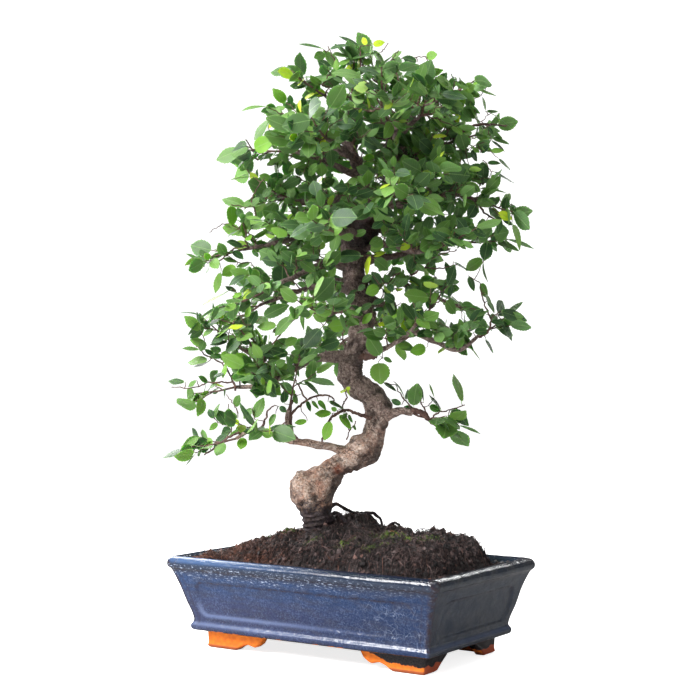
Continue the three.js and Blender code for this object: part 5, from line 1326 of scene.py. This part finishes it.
EDGE_LEAVES = {
    -24: [
        [353, 240, 339, 229, 12, 0], [367, 231, 353, 236, 8, 0], [338, 230, 333, 253, 10, 0],
        [363, 257, 334, 253, 13, 0], [371, 255, 361, 274, 7, 1], [373, 257, 385, 250, 5, 1],
        [383, 241, 371, 250, 11, 0], [385, 235, 403, 251, 15, 0], [387, 227, 406, 236, 13, 0],
        [383, 221, 372, 229, 9, 0], [374, 259, 389, 269, 11, 0], [373, 275, 363, 280, 8, 0],
        [381, 285, 373, 272, 9, 0], [379, 287, 365, 293, 11, 2], [358, 291, 346, 293, 6, 0],
        [365, 285, 357, 289, 5, 0], [347, 299, 337, 295, 7, 0], [389, 283, 385, 275, 6, 0],
        [388, 284, 392, 292, 7, 0], [397, 292, 402, 286, 5, 1], [363, 315, 349, 305, 8, 0],
        [373, 304, 359, 308, 6, 0], [373, 313, 361, 323, 7, 2], [361, 321, 345, 321, 7, 0],
        [387, 309, 373, 311, 5, 0], [395, 307, 391, 320, 9, 2], [392, 320, 395, 329, 8, 0],
        [401, 303, 409, 313, 9, 0], [395, 303, 385, 295, 9, 0], [385, 299, 371, 303, 5, 0],
        [341, 205, 327, 217, 12, 0], [324, 210, 310, 221, 13, 0], [386, 203, 366, 208, 12, 2],
        [327, 320, 313, 316, 9, 0], [377, 324, 385, 325, 4, 1], [345, 325, 327, 327, 13, 2],
    ],
    -10: [
        [224, 357, 212, 353, 6, 0], [222, 352, 210, 346, 7, 0], [227, 372, 213, 375, 3, 0],
        [214, 356, 204, 350, 5, 0], [262, 352, 276, 346, 8, 0], [268, 362, 280, 356, 8, 0],
        [285, 345, 297, 338, 8, 0], [250, 345, 240, 336, 8, 0], [272, 332, 284, 326, 7, 0],
        [201, 331, 188, 315, 9, 0], [229, 306, 201, 312, 6, 0], [224, 318, 214, 313, 6, 1],
        [222, 319, 206, 323, 5, 0], [207, 345, 190, 340, 9, 0], [205, 340, 200, 351, 7, 0],
        [200, 350, 183, 349, 5, 0], [208, 361, 188, 358, 8, 0], [209, 361, 195, 369, 4, 0],
        [229, 333, 211, 340, 7, 0], [228, 342, 210, 345, 6, 0], [242, 336, 224, 350, 11, 0],
        [229, 351, 221, 359, 8, 2], [226, 361, 222, 378, 5, 2], [249, 357, 232, 361, 12, 2],
        [250, 371, 284, 369, 12, 0], [249, 371, 231, 375, 11, 0], [253, 371, 253, 382, 8, 2],
        [185, 383, 168, 379, 6, 0], [197, 380, 188, 386, 5, 0], [209, 383, 199, 377, 6, 0],
        [217, 385, 208, 386, 5, 0], [232, 318, 240, 300, 5, 0], [246, 318, 250, 307, 6, 2],
        [245, 325, 229, 327, 5, 1], [231, 327, 212, 338, 4, 2], [250, 325, 257, 314, 10, 0],
        [277, 325, 257, 328, 11, 0], [262, 318, 288, 302, 15, 0], [299, 316, 292, 315, 4, 0],
        [232, 289, 203, 308, 4, 2], [243, 292, 233, 297, 5, 2], [258, 271, 235, 281, 5, 2],
        [252, 266, 230, 280, 6, 0],
    ],
    -22: [
        [214, 420, 208, 409, 7, 0], [214, 418, 217, 403, 5, 0], [229, 426, 216, 410, 10, 0],
        [218, 423, 210, 429, 7, 0], [232, 430, 218, 434, 9, 0], [200, 437, 175, 449, 10, 0],
        [209, 440, 197, 447, 11, 0], [210, 446, 200, 452, 6, 0], [228, 434, 212, 446, 8, 0],
        [240, 424, 241, 436, 10, 0], [243, 437, 242, 451, 11, 2], [285, 428, 278, 440, 10, 0],
        [234, 408, 240, 395, 8, 0], [266, 394, 250, 391, 7, 0], [254, 420, 263, 397, 13, 0],
        [238, 418, 229, 414, 7, 0], [252, 408, 243, 418, 7, 0], [238, 425, 236, 418, 5, 1],
        [276, 414, 268, 424, 7, 0], [279, 406, 286, 412, 6, 0], [307, 421, 295, 424, 6, 2],
    ],
    -17: [
        [338, 415, 352, 428, 7, 2], [343, 413, 346, 423, 7, 0], [348, 414, 353, 423, 4, 0],
        [337, 411, 331, 407, 5, 0], [346, 391, 340, 391, 3, 1], [346, 391, 349, 387, 4, 1],
        [347, 391, 350, 394, 4, 1], [352, 426, 357, 430, 3, 0], [284, 404, 284, 390, 9, 0],
        [296, 394, 284, 386, 8, 2], [308, 367, 312, 380, 9, 0], [303, 380, 319, 394, 5, 0],
        [307, 400, 310, 412, 5, 0], [311, 400, 319, 409, 4, 0], [317, 400, 326, 410, 5, 0],
        [328, 402, 344, 408, 4, 0], [332, 413, 315, 412, 7, 2], [331, 420, 323, 440, 11, 2],
        [293, 378, 280, 374, 8, 0], [292, 395, 300, 404, 6, 0], [322, 328, 302, 348, 14, 0],
        [341, 341, 320, 346, 12, 0], [345, 322, 326, 330, 10, 0], [321, 323, 319, 309, 12, 0],
        [322, 357, 308, 363, 5, 0], [300, 352, 286, 360, 8, 0], [296, 366, 284, 372, 7, 0],
        [271, 396, 262, 386, 8, 0],
    ],
    -13: [
        [413, 407, 416, 383, 15, 0], [461, 404, 459, 373, 9, 0], [448, 416, 443, 441, 23, 0],
        [449, 409, 470, 425, 10, 0], [449, 412, 460, 424, 6, 0], [428, 406, 441, 411, 7, 0],
        [441, 411, 432, 393, 4, 0], [434, 398, 428, 384, 2, 0], [402, 405, 391, 400, 7, 0],
        [413, 409, 404, 406, 6, 0], [404, 398, 398, 378, 2, 0], [406, 400, 409, 390, 3, 0],
        [421, 398, 419, 383, 3, 0], [424, 402, 423, 386, 2, 0],
    ],
    -18: [
        [378, 361, 381, 384, 20, 0], [383, 383, 397, 391, 5, 0], [383, 358, 394, 362, 6, 0],
        [380, 357, 369, 337, 14, 0],
    ],
    -3: [
        [400, 341, 400, 362, 9, 2], [427, 347, 410, 351, 10, 2], [432, 336, 450, 339, 12, 0],
        [449, 328, 472, 332, 11, 0], [452, 339, 470, 354, 11, 0], [473, 332, 490, 330, 9, 0],
        [486, 338, 492, 354, 5, 0], [500, 311, 528, 319, 12, 0], [501, 320, 513, 340, 8, 0],
        [491, 321, 503, 323, 6, 0], [463, 320, 472, 327, 4, 0], [385, 322, 378, 325, 4, 1],
        [460, 306, 473, 304, 7, 0], [487, 301, 496, 311, 5, 0], [468, 275, 475, 291, 7, 0],
        [480, 282, 490, 297, 8, 0], [485, 293, 497, 311, 5, 0], [457, 249, 465, 241, 2, 0],
        [484, 262, 482, 282, 2, 0], [453, 262, 468, 272, 4, 0], [488, 240, 484, 260, 13, 0],
        [484, 258, 466, 271, 11, 0], [440, 322, 428, 330, 8, 0], [446, 345, 438, 355, 4, 1],
        [404, 345, 396, 336, 10, 0],
    ],
    -9: [
        [470, 100, 480, 118, 6, 0], [486, 112, 483, 97, 4, 0], [487, 112, 498, 110, 5, 0],
        [491, 113, 513, 125, 4, 0], [481, 153, 489, 146, 7, 0], [490, 151, 503, 150, 6, 2],
        [487, 163, 501, 163, 6, 0], [483, 160, 484, 185, 11, 0], [476, 118, 466, 108, 7, 0],
        [488, 125, 494, 134, 5, 0], [470, 150, 478, 160, 7, 0], [500, 196, 494, 205, 6, 0],
        [485, 222, 477, 242, 13, 0], [491, 137, 510, 142, 6, 0], [491, 140, 505, 151, 5, 0],
        [498, 157, 510, 171, 5, 0], [492, 171, 514, 185, 5, 0], [491, 173, 499, 187, 7, 2],
        [478, 189, 507, 192, 5, 0], [504, 212, 506, 197, 8, 0], [512, 214, 529, 214, 16, 0],
        [512, 223, 525, 247, 9, 0], [502, 219, 515, 224, 7, 0], [496, 241, 519, 250, 7, 0],
        [499, 222, 508, 244, 6, 0], [462, 199, 478, 212, 13, 0], [470, 168, 481, 186, 8, 0],
        [450, 115, 463, 93, 14, 2], [456, 122, 459, 113, 6, 1], [488, 86, 472, 83, 8, 2],
        [482, 94, 461, 89, 9, 0], [449, 88, 455, 80, 8, 0], [466, 150, 459, 133, 14, 0],
        [445, 230, 444, 250, 9, 0],
    ],
    -6: [
        [333, 70, 319, 60, 9, 0], [322, 78, 330, 66, 7, 0], [338, 66, 350, 58, 6, 0],
        [364, 66, 372, 56, 7, 0], [384, 70, 376, 60, 7, 0], [323, 49, 298, 43, 6, 0],
        [329, 49, 346, 42, 6, 0], [331, 55, 357, 54, 7, 0], [361, 46, 339, 33, 6, 0],
        [372, 45, 383, 43, 8, 1], [366, 46, 363, 38, 6, 1], [380, 51, 351, 60, 7, 0],
        [326, 53, 314, 59, 9, 0], [392, 58, 401, 48, 7, 0], [303, 79, 292, 86, 8, 0],
        [333, 75, 303, 80, 7, 0], [307, 84, 293, 90, 2, 0], [430, 68, 401, 74, 11, 0],
        [418, 62, 402, 58, 9, 0], [426, 56, 437, 55, 9, 2], [345, 72, 352, 62, 6, 1],
        [396, 60, 388, 72, 11, 0], [286, 103, 275, 90, 13, 2], [291, 105, 291, 96, 6, 0],
        [303, 98, 314, 94, 5, 1],
    ],
    -12: [
        [238, 262, 222, 258, 5, 0], [232, 250, 243, 258, 7, 0], [250, 262, 236, 268, 6, 0],
        [236, 292, 226, 284, 5, 0], [240, 300, 252, 294, 7, 0], [300, 112, 312, 118, 7, 0],
        [306, 104, 318, 98, 6, 0], [250, 206, 260, 198, 7, 0], [296, 111, 279, 121, 8, 0],
        [296, 112, 285, 124, 9, 2], [269, 119, 250, 137, 9, 0], [268, 128, 275, 121, 5, 1],
        [271, 136, 279, 131, 6, 1], [246, 140, 234, 157, 11, 0], [252, 157, 234, 165, 4, 0],
        [253, 176, 231, 180, 4, 0], [283, 138, 263, 144, 7, 0], [246, 208, 224, 193, 14, 0],
        [231, 205, 234, 227, 9, 2], [244, 220, 244, 238, 6, 2], [240, 229, 227, 236, 2, 0],
        [244, 246, 228, 240, 6, 0], [226, 256, 219, 245, 10, 0], [203, 262, 186, 254, 4, 0],
        [211, 260, 205, 254, 7, 2], [236, 266, 223, 276, 11, 2], [221, 271, 215, 294, 9, 0],
        [282, 294, 281, 258, 19, 0], [285, 233, 256, 257, 14, 0], [293, 224, 266, 228, 12, 0],
        [265, 202, 256, 194, 8, 0], [270, 186, 262, 197, 7, 0],
    ],
}
BREADTH, BROADEST, JOINING_RADII = 2 * LEAF_WIDTH, 1.35, (0.45, 0.3)
FOOT_STRAY, TIP_STRAY = 4, 7
FRONT = planted([0, -1, 0])


def pixel_size(depth):
    """How many millimetres a pixel of the photograph spans at this depth."""
    return (CAMERA_DISTANCE + depth) / FOCAL_PIXELS


def seen_place(across, down, depth):
    """The place on the tree, to the millimetre, that the photograph shows at this pixel, at this depth."""
    beside, above = (across - PHOTO_MIDDLE) * pixel_size(depth), (PHOTO_MIDDLE - down) * pixel_size(depth)
    return [round(beside), depth, round(CAMERA_HEIGHT + above)]


def leaf_seen(foot, tip, width, kind, rng):
    """A leaf that looks this long and broad from the front. Where it looks broader than a leaf is, it
    leans towards the front and is broader by equal shares, and where narrower, it is turned about its own
    line."""
    seen, needed = np.linalg.norm(tip - foot), width / BREADTH
    length = max(seen, math.sqrt(seen * needed))
    along = unit(tip - foot + FRONT * math.sqrt(length**2 - seen**2))
    turned = math.acos(min(1, needed / length))
    flat = unit(FRONT - along * (FRONT @ along))
    side = np.cross(along, flat)
    side = side if side[2] > 0 else -side
    face = flat * math.cos(turned) + side * math.sin(turned)
    # A leaf of kind 2 takes the brightest tint, the painted glow of light from behind.
    tint = 0.8 * rng.random() if kind == 0 else 1.0
    young = rng.uniform(0.6, 1) if kind == 1 else 0
    return foot, along, face, length, np.clip(needed / length, 1, BROADEST), tint, young


def joining_twigs(feet, wood, rng):
    """A fine twig to each leaf from the nearest wood, and then it is wood itself. The nearest come first."""
    twigs = []
    for number in np.argsort([np.linalg.norm(wood - foot, axis=1).min() for foot in feet]):
        start = wood[np.argmin(np.linalg.norm(wood - feet[number], axis=1))]
        line = kinked(start, feet[number], rng, FORK_POINTS, 0.0)
        twigs.append((line, np.linspace(*JOINING_RADII, FORK_POINTS)))
        wood = np.vstack([wood, line])
    return twigs


rng = np.random.default_rng(23)
twigs = []
for start, end, first_depth, last_depth, pixels in EDGE_TWIGS:
    steps = len(pixels) - 1
    depths = [round(first_depth + (last_depth - first_depth) * i / steps) for i in range(steps + 1)]
    places = [seen_place(*pixel, depth) for pixel, depth in zip(pixels, depths)]
    line = curve_through(planted(places), np.linspace(0, 1, 4 * len(places)))
    line[1:-1] += rng.normal(0, 0.35, (len(line) - 2, 3))
    twigs.append((line, np.linspace(start, end, len(line)) * rng.uniform(0.85, 1.2, len(line))))
leaves = []
for depth, rows in EDGE_LEAVES.items():
    for foot_across, foot_down, tip_across, tip_down, width, kind in rows:
        foot, tip = seen_place(foot_across, foot_down, depth), seen_place(tip_across, tip_down, depth)
        foot[1] += rng.uniform(-FOOT_STRAY, FOOT_STRAY)
        tip[1] += rng.uniform(-TIP_STRAY, TIP_STRAY)
        width = max(1, round(width * pixel_size(depth)))
        leaves.append(leaf_seen(planted(foot), planted(tip), width, kind, rng))
twigs += joining_twigs([row[0] for row in leaves], np.vstack(routes + [line for line, _ in twigs]), rng)
foliage("edge_of_the_crown", twigs, leaves, rng)


# The stage is a pale floor and a white world, which the camera sees brighter and the glaze darker than they
# light the tree. A big soft light stands at the upper left, one behind, and a long strip over the front.
floor_mesh = bpy.data.meshes.new("floor")
floor_mesh.from_pydata([(-9, -9, 0), (9, -9, 0), (9, 9, 0), (-9, 9, 0)], [], [(0, 1, 2, 3)])
floor = bpy.data.objects.new("floor", floor_mesh)
bpy.context.collection.objects.link(floor)
pale, tree, shader, place = blank("pale_floor", Roughness=0.9)
rays = tree.nodes.new("ShaderNodeLightPath").outputs
floor_seen, floor_mirrored = (0.9, 0.9, 0.9, 1), (0.2, 0.2, 0.2, 1)
fill(tree, shader.inputs["Base Color"], coat(tree, floor_seen, floor_mirrored, rays["Is Glossy Ray"]))
shader.inputs["Emission Color"].default_value = (1, 1, 1, 1)
fill(tree, shader.inputs["Emission Strength"], times(tree, rays["Is Camera Ray"], 0.8))
floor_mesh.materials.append(pale)


def rays_between(tree, ray, no, yes):
    return add(tree, "ShaderNodeMapRange", {"Value": ray, "To Min": no, "To Max": yes}).outputs[0]


world = bpy.data.worlds.new("studio")
world.use_nodes = True
tree = world.node_tree
rays = tree.nodes.new("ShaderNodeLightPath").outputs
lighting = rays_between(tree, rays["Is Glossy Ray"], 0.34, 0.1)
strength = rays_between(tree, rays["Is Camera Ray"], lighting, 1.2)
fill(tree, tree.nodes["Background"].inputs["Color"], (1, 1, 1, 1))
fill(tree, tree.nodes["Background"].inputs["Strength"], strength)
bpy.context.scene.world = world
bpy.context.scene.view_settings.view_transform = "Standard"

# The strip lies along the pot's long side, so that the rolled lip shows it as one line.
STRIP_TURN = (math.radians(10), 0, 0)
for name, side, towards, height, length, width, power in (
    ("key", -1.2, 0.75, 1.1, 0.7, 0.7, 46),
    ("back", -0.8, -1.1, 0.9, 0.8, 0.8, 20),
    ("fill", 1.1, 0.9, 0.7, 0.9, 0.9, 3),
    ("top", 0.0, 0.1, 1.7, 1.2, 1.2, 14),
    ("strip", -0.59, -0.12, 0.9, 1.1, 0.022, 4.4),
    ("side_strip", 0.7, -1.0, 0.85, 1.2, 0.05, 5),
):
    lamp = bpy.data.lights.new(name, "AREA")
    lamp.shape, lamp.size, lamp.size_y, lamp.energy = "RECTANGLE", length, width, power
    light = bpy.data.objects.new(name, lamp)
    at = to_right * side + to_camera * towards + Vector((0, 0, height))
    light.location = at
    light.rotation_euler = (Vector((0, 0, 0.25)) - at).to_track_quat("-Z", "Y").to_euler()
    if name == "strip":
        light.rotation_euler = STRIP_TURN
    bpy.context.collection.objects.link(light)
